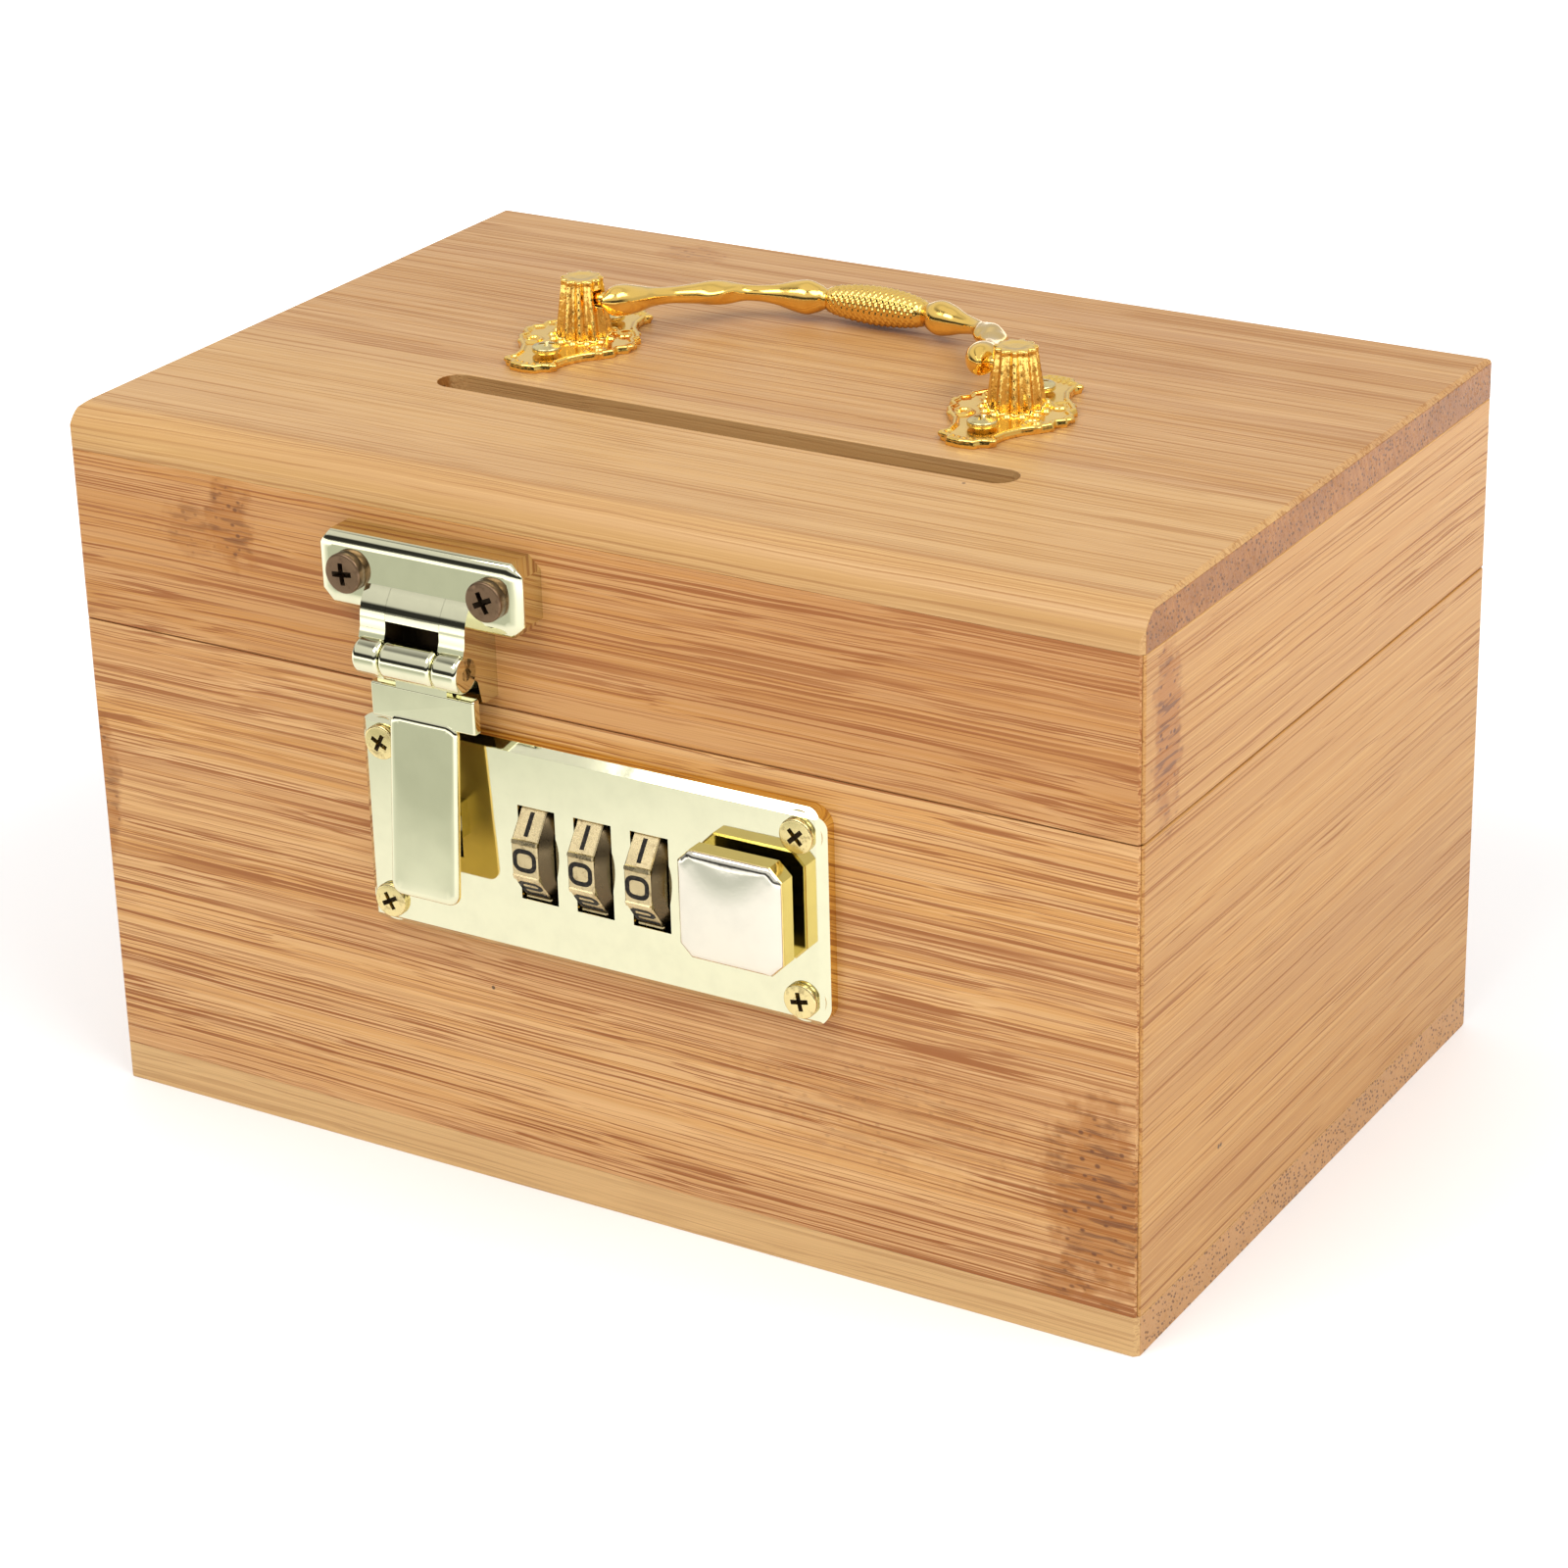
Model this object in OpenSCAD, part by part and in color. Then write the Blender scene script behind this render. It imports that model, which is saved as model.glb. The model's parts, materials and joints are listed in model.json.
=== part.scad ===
// Small bamboo donation box: hinged lid with a coin slot and a bail handle, and a hasp with a
// three-dial combination lock on the front. X is the width, +Y is the back, +Z is up.
// The origin is the centre of the underside.

/* [Box] */
// Outside width, left to right
box_w = 200; // [190:1:260]
// Outside depth, front to back
box_d = 130; // [120:1:180]
// Outside height with the lid closed
box_h = 125; // [124:1:140]
// Height of the base, up to the seam
base_h = 87.5; // [86.5:0.25:88.5]
// Gap at the seam between base and lid
seam_gap = 0.25; // [0.15:0.05:0.4]
// Thickness of the top and bottom boards
board_t = 7; // [6:0.5:8]
// Thickness of the walls and lid rails
wall_t = 8; // [7:0.5:9]
// Radius of the rounded front edge of the top board
front_round = 6; // [3:0.5:6]
// Small easing of the other edges
edge_ease = 0.8; // [0.4:0.1:1.2]

/* [Coin slot] */
// Length of the slot, over its round ends
slot_l = 110; // [60:1:120]
// Width of the slot
slot_w = 6.8; // [5:0.1:10]
// Distance of the slot's centre behind the front face
slot_back = 41.2; // [30:0.1:44]
// Offset of the slot's centre to the right of the box's centre
slot_x = 2.3; // [-5:0.1:5]

/* [Handle] */
// Distance of each post from the box's centre line
post_x = 42.1; // [41:0.1:46]
// Distance of the pivot line behind the box's centre
pivot_y = 4; // [0:0.5:8]
// Height of the pivot line above the lid
pivot_h = 8; // [7.8:0.1:8.2]
// Height of the posts above the lid
post_h = 11.5; // [11:0.1:13]
// Reach of the bail from its pivot line to the middle of its boss
bail_reach = 28.8; // [26:0.1:30]

/* [Hasp] */
// Offset of the hasp's centre from the box's centre line
hasp_x = -25.1; // [-25.3:0.1:-24.9]
// Width of the bar of the hasp's hinge plate
bar_w = 39.3; // [38:0.1:42]
// Height of the bar
bar_h = 12.6; // [12:0.1:14]
// Width of the flat head of the strap
head_w = 20.3; // [19:0.1:20.6]
// Width of the strap's narrow tongue
tongue_w = 13.2; // [11:0.1:14]
// Height of the tongue's lower end above the ground
tongue_z = 55; // [52:0.5:58]

/* [Lock] */
// Offset of the lock's centre from the box's centre line
lock_x = 3.1; // [3:0.1:3.2]
// Height of the lock's centre above the ground
lock_z = 64.5; // [64.3:0.1:64.7]
// Width of the face plate
plate_w = 88; // [87.5:0.1:89]
// Height of the face plate
plate_h = 37.5; // [37.4:0.1:38]
// Spacing of the face plate's screws, left to right
lock_screw_dx = 78.8; // [78.4:0.1:79.2]
// Spacing of the face plate's screws, up and down
lock_screw_dz = 28.4; // [28.2:0.1:28.8]
// Distance between the dials
dial_pitch = 10.75; // [10.7:0.05:10.8]
// Outside radius of a dial
dial_r = 10.4; // [10.2:0.05:10.45]
// Travel of the slider button
slider_travel = 2.5; // [1.5:0.1:2.5]

/* [Rear hinges] */
// Length of each hinge
hinge_l = 30; // [26:1:40]
// Distance of each hinge from the box's centre line
hinge_x = 60; // [45:1:70]
// Height of each leaf from the hinge line
leaf_h = 14; // [12:0.5:16]

/* [Hidden] */
$fn = 64;

// Colours
bamboo_front = [0.80, 0.58, 0.36];
bamboo_side = [0.86, 0.67, 0.44];
bamboo_top = [0.84, 0.65, 0.43];
pale_gold = [0.93, 0.90, 0.66];
rich_gold = [0.90, 0.68, 0.22];
screw_gold = [0.86, 0.76, 0.42];
bronze = [0.36, 0.26, 0.17];
antique_brass = [0.66, 0.58, 0.40];
champagne = [0.88, 0.85, 0.70];
steel = [0.62, 0.63, 0.65];

// Overshoot of a cutter past the face that it cuts
over = 1;
// Radial clearance of a pin or shank in its hole
fit_gap = 0.05;

// Places of the box's faces
front_y = -box_d / 2;
back_y = box_d / 2;
rail_z = base_h + seam_gap;
lid_under = box_h - board_t;
wall_h = base_h - board_t;
rail_h = lid_under - rail_z;
slot_y = front_y + slot_back;

// Wood screws
screw_shank_r = 1.5;
screw_bite = 6;

// Handle: places and sizes
pivot_z = box_h + pivot_h;
post_base_r = 4.75;
post_top_r = 3.25;
pivot_pin_r = 1.2;
pivot_pin_depth = 2.2;
rosette_t = 1.5;
rosette_y = 2.5;
rosette_half_w = 11.3;
rosette_half_l = 18;
rosette_screw_dy = 10;
rosette_tip_half = 3.6;
rosette_bite_r = 9;
rosette_head_h = 1.4;
bail_drop = 4.1;
// Half of the bail, as [share of the half width, share of the reach, radius] from the pivot
// to the middle: scroll, leg, leaf, thin rod, bulge, neck and boss
bail_half_w = 35.6;
bail_line = [
    [1.00, 0.00, 2.4], [0.96, 0.18, 1.9], [0.88, 0.42, 1.8], [0.78, 0.62, 2.5],
    [0.65, 0.77, 1.6], [0.53, 0.87, 2.0], [0.39, 0.92, 2.9], [0.28, 0.96, 2.2],
    [0.14, 0.99, 3.1], [0.00, 1.00, 3.5]
];
// Round ends past the pivots, as [distance past the pivot line, share of the scroll's radius]
bail_tips = [[0, 1], [1.5, 0.8], [2.3, 0.3]];
bail_steps = 3;
bail_sides = 12;

// Hasp: distances out from the front face, and heights above the ground
barrel_out = 8.3;
barrel_z = 96.3;
barrel_r = 3.3;
hasp_pin_r = 1.2;
knuckle_w = 10;
knuckle_gap = 0.2;
bar_t = 6;
bar_z = 108.9;
bar_bevel = 2;
bar_chamfer = 2;
hasp_screw_dx = 13.6;
cheek_z = 89.8;
notch_top = 102.6;
notch_depth = 4;
head_out = 7;
head_t = 1.6;
head_top = 91;
head_foot = 85;
tongue_top_out = 7.5;
tongue_end_out = 10;
tongue_t = 1.3;
tongue_round = 2;
staple_w = 2.4;
staple_x = hasp_x + 0.7;
staple_foot = 63;
staple_top = 69.4;
staple_in = -0.1;
staple_eye = [0.7, 2.1];
staple_eye_z = [64.6, 67.8];

// Lock: places and sizes, x and z counted from the lock's centre, "out" from the front face
plate_t = 3.2;
plate_bevel = 1.4;
plate_bevel_t = 1.2;
plate_corner = 3.5;
plate_skin = 1.3;
plate_rim = 1.8;
boss_r = 4;
window_w = 7.1;
window_h = 16.6;
dial_middle = 1.05;
dial_out = 3.4;
dial_axis_out = plate_t + dial_out - dial_r;
dial_relief = 0.4;
dial_x = [for (i = [-1:1]) lock_x + dial_middle + i * dial_pitch];
band_left = -3.3;
band_w = 5;
flank_w = 1.6;
flank_r = [9.6, 8];
sleeve_r = 3;
spindle_r = 1.5;
sleeve_end = 7;
cam_r = 5.2;
cam_at = 4.5;
cam_t = 1.2;
cam_notch = [3, 2];
channel_w = 6;
channel_foot = 61;
case_w = 78;
case_h = 23.4;
case_depth = 17;
case_wall = 1;
mortise_gap = 0.3;
case_post_r = 2;
case_screw_r = 1;
case_screw_l = 6;
case_posts = [[-34.3, 0], [34.4, -8.3]];
rib_x = [lock_x - 14.5, lock_x + 19.2];
rib_t = 1;
rib_out = -1;
rib_h = 20;

// Latch slide: a stamped strip in the hollow behind the face plate
latch_t = 1;
latch_out = 0.8;
latch_bar_z = [75.6, 79.6];
latch_x = [-19.5, 35];
latch_arm_w = 4;
latch_tip = 0.4;
latch_tip_z = [65, 67.4];
latch_arm_foot = 64;
fence_w = 1;
fence_at = 3.5;
fence_z = 67.7;
stem_arm_x = [27, 35];
stem_arm_foot = 60;
ear_x = 24.2;
ear_back = -7;
ear_z = [61, 69];

// Slider button
button_x = 33;
button_z = 65.4;
button_w = 19;
button_h = 18.7;
button_out = [5, 10];
button_chamfer = 2.2;
button_bevel = 1.1;
button_bevel_t = 0.7;
stem_w = 6;
stem_h = 7;
stem_gap = 0.3;
rivet_r = 1.5;
rivet_head_r = 2.4;
rivet_head_t = 0.6;

// Return spring
spring_r = 2.2;
spring_wire = 0.3;
spring_turns = 8;
spring_out = -4;
spring_z = 65;
spring_sides = 6;
spring_steps = 16;

// Rear hinges: the hinge line stands clear of the back face
hinge_r = 2.2;
hinge_out = 2.3;
hinge_pin_r = 1.1;
hinge_z = base_h + seam_gap / 2;
leaf_t = 1.2;
leaf_clear = 2.6;
hinge_knuckles = 3;
hinge_knuckle_gap = 0.2;
hinge_screw_dx = 10;
hinge_screw_dz = 9;
hinge_head_r = 2.2;
hinge_head_h = 0.7;
hinge_shank_r = 1.3;

// Places its children on the front face: x right, y up, z out of the face
module on_front(x, z) translate([x, front_y, z]) rotate([90, 0, 0]) children();

// Places its children on the back face: y up, z out of the face
module on_back(x, z) translate([x, back_y, z]) rotate([90, 0, 180]) children();

// Extrudes an outline of (distance out of the front face, height) along X
module front_profile(x, w)
    translate([x - w / 2, front_y, 0])
        mirror([0, 1, 0]) rotate([90, 0, 90]) linear_extrude(w) children();

// Extrudes an outline of (y, z) along X, centred
module profile_x(w) rotate([90, 0, 90]) linear_extrude(w, center = true) children();

// Extrudes an outline of (x, z) along Y, centred
module profile_y(d) rotate([90, 0, 0]) linear_extrude(d, center = true) children();

// A rectangle with round corners, centred
module round_rect(w, h, r) {
    square([w - 2 * r, h], center = true);
    square([w, h - 2 * r], center = true);
    for (x = [-1, 1], y = [-1, 1])
        translate([x * (w / 2 - r), y * (h / 2 - r)]) circle(r);
}

// A rectangle with its corners cut off at 45 degrees, centred
module cut_rect(w, h, c)
    polygon([
        [-w / 2 + c, -h / 2], [w / 2 - c, -h / 2], [w / 2, -h / 2 + c], [w / 2, h / 2 - c],
        [w / 2 - c, h / 2], [-w / 2 + c, h / 2], [-w / 2, h / 2 - c], [-w / 2, -h / 2 + c]
    ]);

// The end view of a plate of width w and thickness t, bevelled bw wide and bt deep at the top
module bevel_view(w, t, bw, bt)
    polygon([
        [-w / 2, 0], [w / 2, 0], [w / 2, t - bt], [w / 2 - bw, t], [-w / 2 + bw, t],
        [-w / 2, t - bt]
    ]);

// A plate with the outline given as a child, bevelled along its four top edges
module bevelled(w, h, t, bw, bt)
    intersection() {
        linear_extrude(t) children();
        profile_y(h + over) bevel_view(w, t, bw, bt);
        profile_x(w + over) bevel_view(h, t, bw, bt);
    }

// The waste outside a round edge of radius r, in the corner x >= 0, y <= 0
module round_waste(r)
    difference() {
        translate([-over, -r]) square([r + over, r + over]);
        translate([r, -r]) circle(r);
    }

// The cross cut into a screw head of radius r, down from z = 0
module cross_recess(r) {
    depth = 0.7;
    for (a = [0, 90])
        rotate(a) translate([0, 0, -depth / 2 + 0.01])
            cube([r * 1.2, r * 0.28, depth], center = true);
}

// A pan-head wood screw: the head stands on z = 0 and the shank goes down
module pan_screw(head_r, head_h, shank_r, shank_l) {
    crown_r = (head_r * head_r + head_h * head_h) / (2 * head_h) * 1.25;
    difference() {
        union() {
            intersection() {
                cylinder(r = head_r, h = head_h);
                translate([0, 0, head_h - crown_r]) sphere(crown_r);
            }
            translate([0, 0, -shank_l]) cylinder(r = shank_r, h = shank_l + head_h / 2);
        }
        translate([0, 0, head_h]) cross_recess(head_r);
    }
}

// The hole that a screw's shank of radius r runs in, to the depth d
module shank_hole(r, d) translate([0, 0, -d]) cylinder(r = r + fit_gap, h = d + over);

// Screw places, as placing modules
module at_lock_screws()
    for (x = [-1, 1], z = [-1, 1])
        on_front(lock_x + x * lock_screw_dx / 2, lock_z + z * lock_screw_dz / 2)
            rotate(20 * x + 15 * z) children();

module at_hasp_screws()
    for (x = [-1, 1])
        on_front(hasp_x + x * hasp_screw_dx, bar_z) rotate(25) children();

module at_post_screws(side)
    for (y = [-1, 1])
        translate([side * post_x, rosette_y + y * rosette_screw_dy, box_h])
            rotate(30 * y) children();

module at_hinge_screws(way)
    for (x = [-1, 1], s = [-1, 1])
        on_back(x * hinge_x + s * hinge_screw_dx, hinge_z + way * hinge_screw_dz)
            rotate(20 * s) children();

// A board of length l and height h, lying along X with its outer face at y = 0 and mitred ends
module mitred_board(l, h) {
    e = edge_ease;
    linear_extrude(h)
        polygon([
            [-l / 2 + e, 0], [l / 2 - e, 0], [l / 2 - e / 2, e / 2], [l / 2 - wall_t, wall_t],
            [-l / 2 + wall_t, wall_t], [-l / 2 + e / 2, e / 2]
        ]);
}

// The four sides of a frame: 0 front, 1 right, 2 back, 3 left
module frame_side(side, z, h) {
    l = side % 2 == 0 ? box_w : box_d;
    reach = side % 2 == 0 ? box_d / 2 : box_w / 2;
    translate([0, 0, z]) rotate(90 * side) translate([0, -reach, 0]) mitred_board(l, h);
}

// ---- Lid ----

module lid_top_board()
    color(bamboo_top)
        difference() {
            intersection() {
                translate([0, 0, lid_under]) linear_extrude(board_t)
                    cut_rect(box_w, box_d, edge_ease);
                profile_y(box_d + over) translate([0, lid_under])
                    bevel_view(box_w, board_t, edge_ease, edge_ease);
            }
            translate([0, front_y, box_h]) profile_x(box_w + over) round_waste(front_round);
            translate([0, back_y, box_h]) profile_x(box_w + over)
                mirror([1, 0]) round_waste(edge_ease * 2);
            translate([slot_x, slot_y, lid_under - over]) linear_extrude(board_t + 2 * over)
                round_rect(slot_l, slot_w, slot_w / 2 - 0.01);
            for (side = [-1, 1])
                at_post_screws(side) shank_hole(screw_shank_r, screw_bite);
        }

module lid_front_rail()
    color(bamboo_front)
        difference() {
            frame_side(0, rail_z, rail_h);
            at_hasp_screws() shank_hole(screw_shank_r, screw_bite);
        }

module lid_right_rail() color(bamboo_side) frame_side(1, rail_z, rail_h);

module lid_back_rail()
    color(bamboo_front)
        difference() {
            frame_side(2, rail_z, rail_h);
            at_hinge_screws(1) shank_hole(hinge_shank_r, screw_bite);
        }

module lid_left_rail() color(bamboo_side) frame_side(3, rail_z, rail_h);

// ---- Base ----

module base_bottom_board()
    color(bamboo_top)
        difference() {
            linear_extrude(board_t) cut_rect(box_w, box_d, edge_ease);
            translate([0, back_y, 0]) mirror([0, 0, 1]) profile_x(box_w + over)
                mirror([1, 0]) round_waste(edge_ease * 2);
        }

module base_front_wall()
    color(bamboo_front)
        difference() {
            frame_side(0, board_t, wall_h);
            at_lock_screws() shank_hole(screw_shank_r, screw_bite);
            on_front(lock_x, lock_z) translate([0, 0, -wall_t / 2])
                cube([case_w + 2 * mortise_gap, case_h + 2 * mortise_gap, wall_t + 2 * over],
                     center = true);
        }

module base_right_wall() color(bamboo_side) frame_side(1, board_t, wall_h);

module base_back_wall()
    color(bamboo_front)
        difference() {
            frame_side(2, board_t, wall_h);
            at_hinge_screws(-1) shank_hole(hinge_shank_r, screw_bite);
        }

module base_left_wall() color(bamboo_side) frame_side(3, board_t, wall_h);

// ---- Carry handle ----

// The cartouche outline of a rosette: a lozenge with hollow sides, blunt tips and side knobs
module rosette_outline() {
    difference() {
        polygon([
            [-rosette_tip_half, rosette_half_l], [rosette_tip_half, rosette_half_l],
            [rosette_half_w - 1, 3], [rosette_half_w - 1, -3],
            [rosette_tip_half, -rosette_half_l], [-rosette_tip_half, -rosette_half_l],
            [-rosette_half_w + 1, -3], [-rosette_half_w + 1, 3]
        ]);
        for (x = [-1, 1], y = [-1, 1])
            translate([x * (rosette_half_w + 4), y * (rosette_half_l - 3)])
                circle(rosette_bite_r);
    }
    for (x = [-1, 1])
        translate([x * (rosette_half_w - 1.3), 0]) circle(1.3);
}

// side is -1 for the left post and 1 for the right post
module handle_post(side)
    color(rich_gold)
        difference() {
            union() {
                translate([side * post_x, rosette_y, box_h])
                    linear_extrude(rosette_t) rosette_outline();
                translate([side * post_x, pivot_y, box_h])
                    cylinder(r1 = post_base_r, r2 = post_top_r, h = post_h);
            }
            at_post_screws(side) translate([0, 0, rosette_t])
                shank_hole(screw_shank_r, rosette_t + over);
            translate([side * post_x, pivot_y, pivot_z]) rotate([0, -90 * side, 0])
                translate([0, 0, post_top_r - pivot_pin_depth])
                    cylinder(r = pivot_pin_r + fit_gap, h = post_base_r);
        }

module handle_post_screws()
    color(screw_gold)
        for (side = [-1, 1])
            at_post_screws(side) translate([0, 0, rosette_t])
                pan_screw(2.5, rosette_head_h, screw_shank_r, screw_bite);

// The bail's plane leans back from the pivot line: unit vectors along it and across it
bail_lean = [0, bail_reach, -bail_drop] / norm([0, bail_reach, -bail_drop]);
bail_across = cross([1, 0, 0], bail_lean);

// Station k of the bail as [x, y, z, radius]: 0 is the middle, and the last ones are the pivots
function bail_station(k) =
    let (middle = len(bail_line) - 1,
         p = bail_line[middle - min(abs(k), middle)],
         past = max(abs(k) - middle, 0),
         side = sign(k),
         tip = bail_tips[past])
    [side * p[0] * bail_half_w,
     pivot_y + p[1] * bail_reach - tip[0] * bail_lean.y,
     pivot_z - p[1] * bail_drop - tip[0] * bail_lean.z,
     p[2] * tip[1]];

// A smooth curve from b to c, with neighbours a and d
function curve(a, b, c, d, t) =
    0.5 * (2 * b + (c - a) * t + (2 * a - 5 * b + 4 * c - d) * t * t
           + (3 * b - a - 3 * c + d) * t * t * t);

module bail_handle() {
    last = len(bail_line) - 2 + len(bail_tips);
    rings = [
        for (k = [-last:last - 1], s = [0:bail_steps - 1])
            curve(bail_station(max(k - 1, -last)), bail_station(k), bail_station(k + 1),
                  bail_station(min(k + 2, last)), s / bail_steps),
        bail_station(last)
    ];
    n = len(rings);
    m = bail_sides;
    pts = [
        for (i = [0:n - 1])
            let (a = rings[max(i - 1, 0)], b = rings[min(i + 1, n - 1)],
                 way = [b.x - a.x, b.y - a.y, b.z - a.z],
                 inward = cross(bail_across, way / norm(way)))
            for (s = [0:m - 1])
                [rings[i].x, rings[i].y, rings[i].z]
                    + rings[i][3] * (cos(360 * s / m) * bail_across + sin(360 * s / m) * inward)
    ];
    sides = [
        for (i = [0:n - 2], s = [0:m - 1])
            let (t = (s + 1) % m, a = i * m, b = a + m)
            [a + s, a + t, b + t, b + s]
    ];
    ends = [[for (s = [0:m - 1]) m - 1 - s], [for (s = [0:m - 1]) (n - 1) * m + s]];
    color(rich_gold) {
        polyhedron(pts, concat(sides, ends));
        for (side = [-1, 1])
            translate([side * bail_half_w, pivot_y, pivot_z]) rotate([0, 90 * side, 0])
                cylinder(r = pivot_pin_r,
                         h = post_x - bail_half_w - post_top_r + pivot_pin_depth - 0.2);
    }
}

// ---- Hasp ----

module hasp_hinge_plate()
    color(pale_gold)
        difference() {
            union() {
                on_front(hasp_x, bar_z)
                    bevelled(bar_w, bar_h, bar_t, bar_bevel, 1)
                        cut_rect(bar_w, bar_h, bar_chamfer);
                front_profile(hasp_x, head_w) {
                    polygon([
                        [0, cheek_z], [4.4, cheek_z], [5.4, 94], [barrel_out, barrel_z],
                        [barrel_out + 2.2, barrel_z + 2.4], [9.2, 100.2], [7.6, 102.6],
                        [6.8, 104.6], [bar_t, 106.8], [0, 106.8]
                    ]);
                    translate([barrel_out, barrel_z]) circle(barrel_r);
                }
            }
            front_profile(hasp_x, knuckle_w + 2 * knuckle_gap)
                translate([notch_depth, cheek_z - over])
                    square([barrel_out + barrel_r, notch_top - cheek_z + over]);
            front_profile(hasp_x, head_w + over)
                translate([barrel_out, barrel_z]) circle(hasp_pin_r + fit_gap);
            at_hasp_screws() translate([0, 0, bar_t]) shank_hole(screw_shank_r, bar_t + over);
        }

module hasp_plate_screws()
    color(bronze)
        at_hasp_screws() translate([0, 0, bar_t])
            pan_screw(3.4, 2, screw_shank_r, bar_t + screw_bite - 0.5);

module hasp_hinge_pin()
    color(pale_gold)
        front_profile(hasp_x, head_w)
            translate([barrel_out, barrel_z]) circle(hasp_pin_r);

// Distance out of the tongue's front at the height z
function tongue_out(z) = tongue_top_out
    + (head_foot - z) / (head_foot - tongue_z) * (tongue_end_out - tongue_top_out);

module hasp_strap()
    color(pale_gold)
        difference() {
            union() {
                front_profile(hasp_x, knuckle_w) {
                    translate([barrel_out, barrel_z]) circle(barrel_r);
                    translate([head_out - head_t, head_foot + 2])
                        square([head_t, barrel_z - head_foot - 2]);
                }
                front_profile(hasp_x, head_w)
                    translate([head_out - head_t, head_foot])
                        square([head_t, head_top - head_foot]);
                intersection() {
                    front_profile(hasp_x, tongue_w)
                        polygon([
                            [head_out - head_t, head_foot + 3], [head_out, head_foot + 1.5],
                            [tongue_out(head_foot), head_foot - 0.5],
                            [tongue_out(tongue_z), tongue_z],
                            [tongue_out(tongue_z) - tongue_t, tongue_z],
                            [tongue_out(head_foot) - tongue_t - 0.2, head_foot - 1]
                        ]);
                    on_front(hasp_x, (tongue_z + head_top) / 2)
                        linear_extrude(20)
                            round_rect(tongue_w, head_top - tongue_z, tongue_round);
                }
                front_profile(staple_x, staple_w)
                    polygon([
                        [staple_in, staple_foot],
                        [tongue_out(staple_foot) - tongue_t / 2, staple_foot],
                        [tongue_out(staple_top) - tongue_t / 2, staple_top],
                        [staple_in, staple_top]
                    ]);
            }
            front_profile(hasp_x, head_w)
                translate([barrel_out, barrel_z]) circle(hasp_pin_r + fit_gap);
            front_profile(staple_x, staple_w + over)
                translate([staple_eye[0], staple_eye_z[0]])
                    square([staple_eye[1] - staple_eye[0], staple_eye_z[1] - staple_eye_z[0]]);
        }

// ---- Lock ----

// A cylinder on the dials' axis, from x = x0 and w long
module on_dial_axis(x0, w, r, fn = 64)
    on_front(x0, lock_z) translate([0, 0, dial_axis_out])
        rotate([0, 90, 0]) cylinder(r = r, h = w, $fn = fn);

module lock_plate() {
    hollow_t = plate_t - plate_skin;
    stem_slot_w = stem_w + slider_travel + 2 * stem_gap;
    color(pale_gold)
        difference() {
            union() {
                on_front(lock_x, lock_z)
                    difference() {
                        bevelled(plate_w, plate_h, plate_t, plate_bevel, plate_bevel_t)
                            round_rect(plate_w, plate_h, plate_corner);
                        translate([0, 0, -over]) linear_extrude(hollow_t + over)
                            square([plate_w - 2 * plate_rim, plate_h - 2 * plate_rim],
                                   center = true);
                    }
                at_lock_screws() cylinder(r = boss_r, h = plate_t - 0.5);
                for (p = case_posts)
                    on_front(lock_x + p[0], lock_z + p[1])
                        translate([0, 0, case_wall - case_depth])
                            cylinder(r = case_post_r, h = case_depth - case_wall + hollow_t);
            }
            at_lock_screws() shank_hole(screw_shank_r, over);
            at_lock_screws() translate([0, 0, plate_t]) shank_hole(screw_shank_r, plate_t);
            for (p = case_posts)
                on_front(lock_x + p[0], lock_z + p[1])
                    translate([0, 0, case_wall - case_depth - over])
                        cylinder(r = case_screw_r + fit_gap, h = case_screw_l + over);
            for (x = dial_x) {
                on_front(x, lock_z) translate([0, 0, plate_t / 2])
                    cube([window_w, window_h, plate_t + over], center = true);
                on_dial_axis(x - window_w / 2, window_w, dial_r + dial_relief);
            }
            on_front(button_x + slider_travel / 2, button_z) translate([0, 0, plate_t / 2])
                cube([stem_slot_w, stem_h + 2 * stem_gap, plate_t + over], center = true);
            translate([staple_x - channel_w / 2, front_y - plate_t - over, channel_foot])
                cube([channel_w, plate_t + over, plate_h]);
        }
}

module lock_plate_screws()
    color(screw_gold)
        at_lock_screws() translate([0, 0, plate_t])
            pan_screw(3, 1.1, screw_shank_r, plate_t + screw_bite - 0.5);

module lock_case()
    color(steel)
        difference() {
            union() {
                on_front(lock_x, lock_z) difference() {
                    translate([0, 0, -case_depth / 2])
                        cube([case_w, case_h, case_depth], center = true);
                    translate([0, 0, -case_depth / 2 + case_wall])
                        cube([case_w - 2 * case_wall, case_h - 2 * case_wall, case_depth],
                             center = true);
                }
                for (x = rib_x)
                    on_front(x, lock_z)
                        translate([0, -rib_h / 2, -case_depth + case_wall / 2])
                            cube([rib_t, rib_h, case_depth - case_wall / 2 + rib_out]);
            }
            for (x = rib_x)
                on_dial_axis(x - over, rib_t + 2 * over, spindle_r + fit_gap);
            for (p = case_posts)
                on_front(lock_x + p[0], lock_z + p[1]) translate([0, 0, -case_depth - over])
                    cylinder(r = case_screw_r + fit_gap, h = case_wall + 2 * over);
        }

module lock_case_screws()
    color(steel)
        for (p = case_posts)
            on_front(lock_x + p[0], lock_z + p[1]) translate([0, 0, -case_depth])
                mirror([0, 0, 1])
                    pan_screw(2, 1, case_screw_r, case_wall + case_screw_l - 0.5);

// A ten-sided number wheel with a sloping, notched flank on its right
module number_dial(i) {
    x0 = dial_x[i] + band_left;
    color(antique_brass)
        difference() {
            union() {
                on_dial_axis(x0, band_w, dial_r, 10);
                on_front(x0 + band_w, lock_z) translate([0, 0, dial_axis_out])
                    rotate([0, 90, 0]) cylinder(r1 = flank_r[0], r2 = flank_r[1], h = flank_w);
            }
            on_dial_axis(x0 - over, band_w + flank_w + 2 * over, sleeve_r + fit_gap);
        }
}

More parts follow.
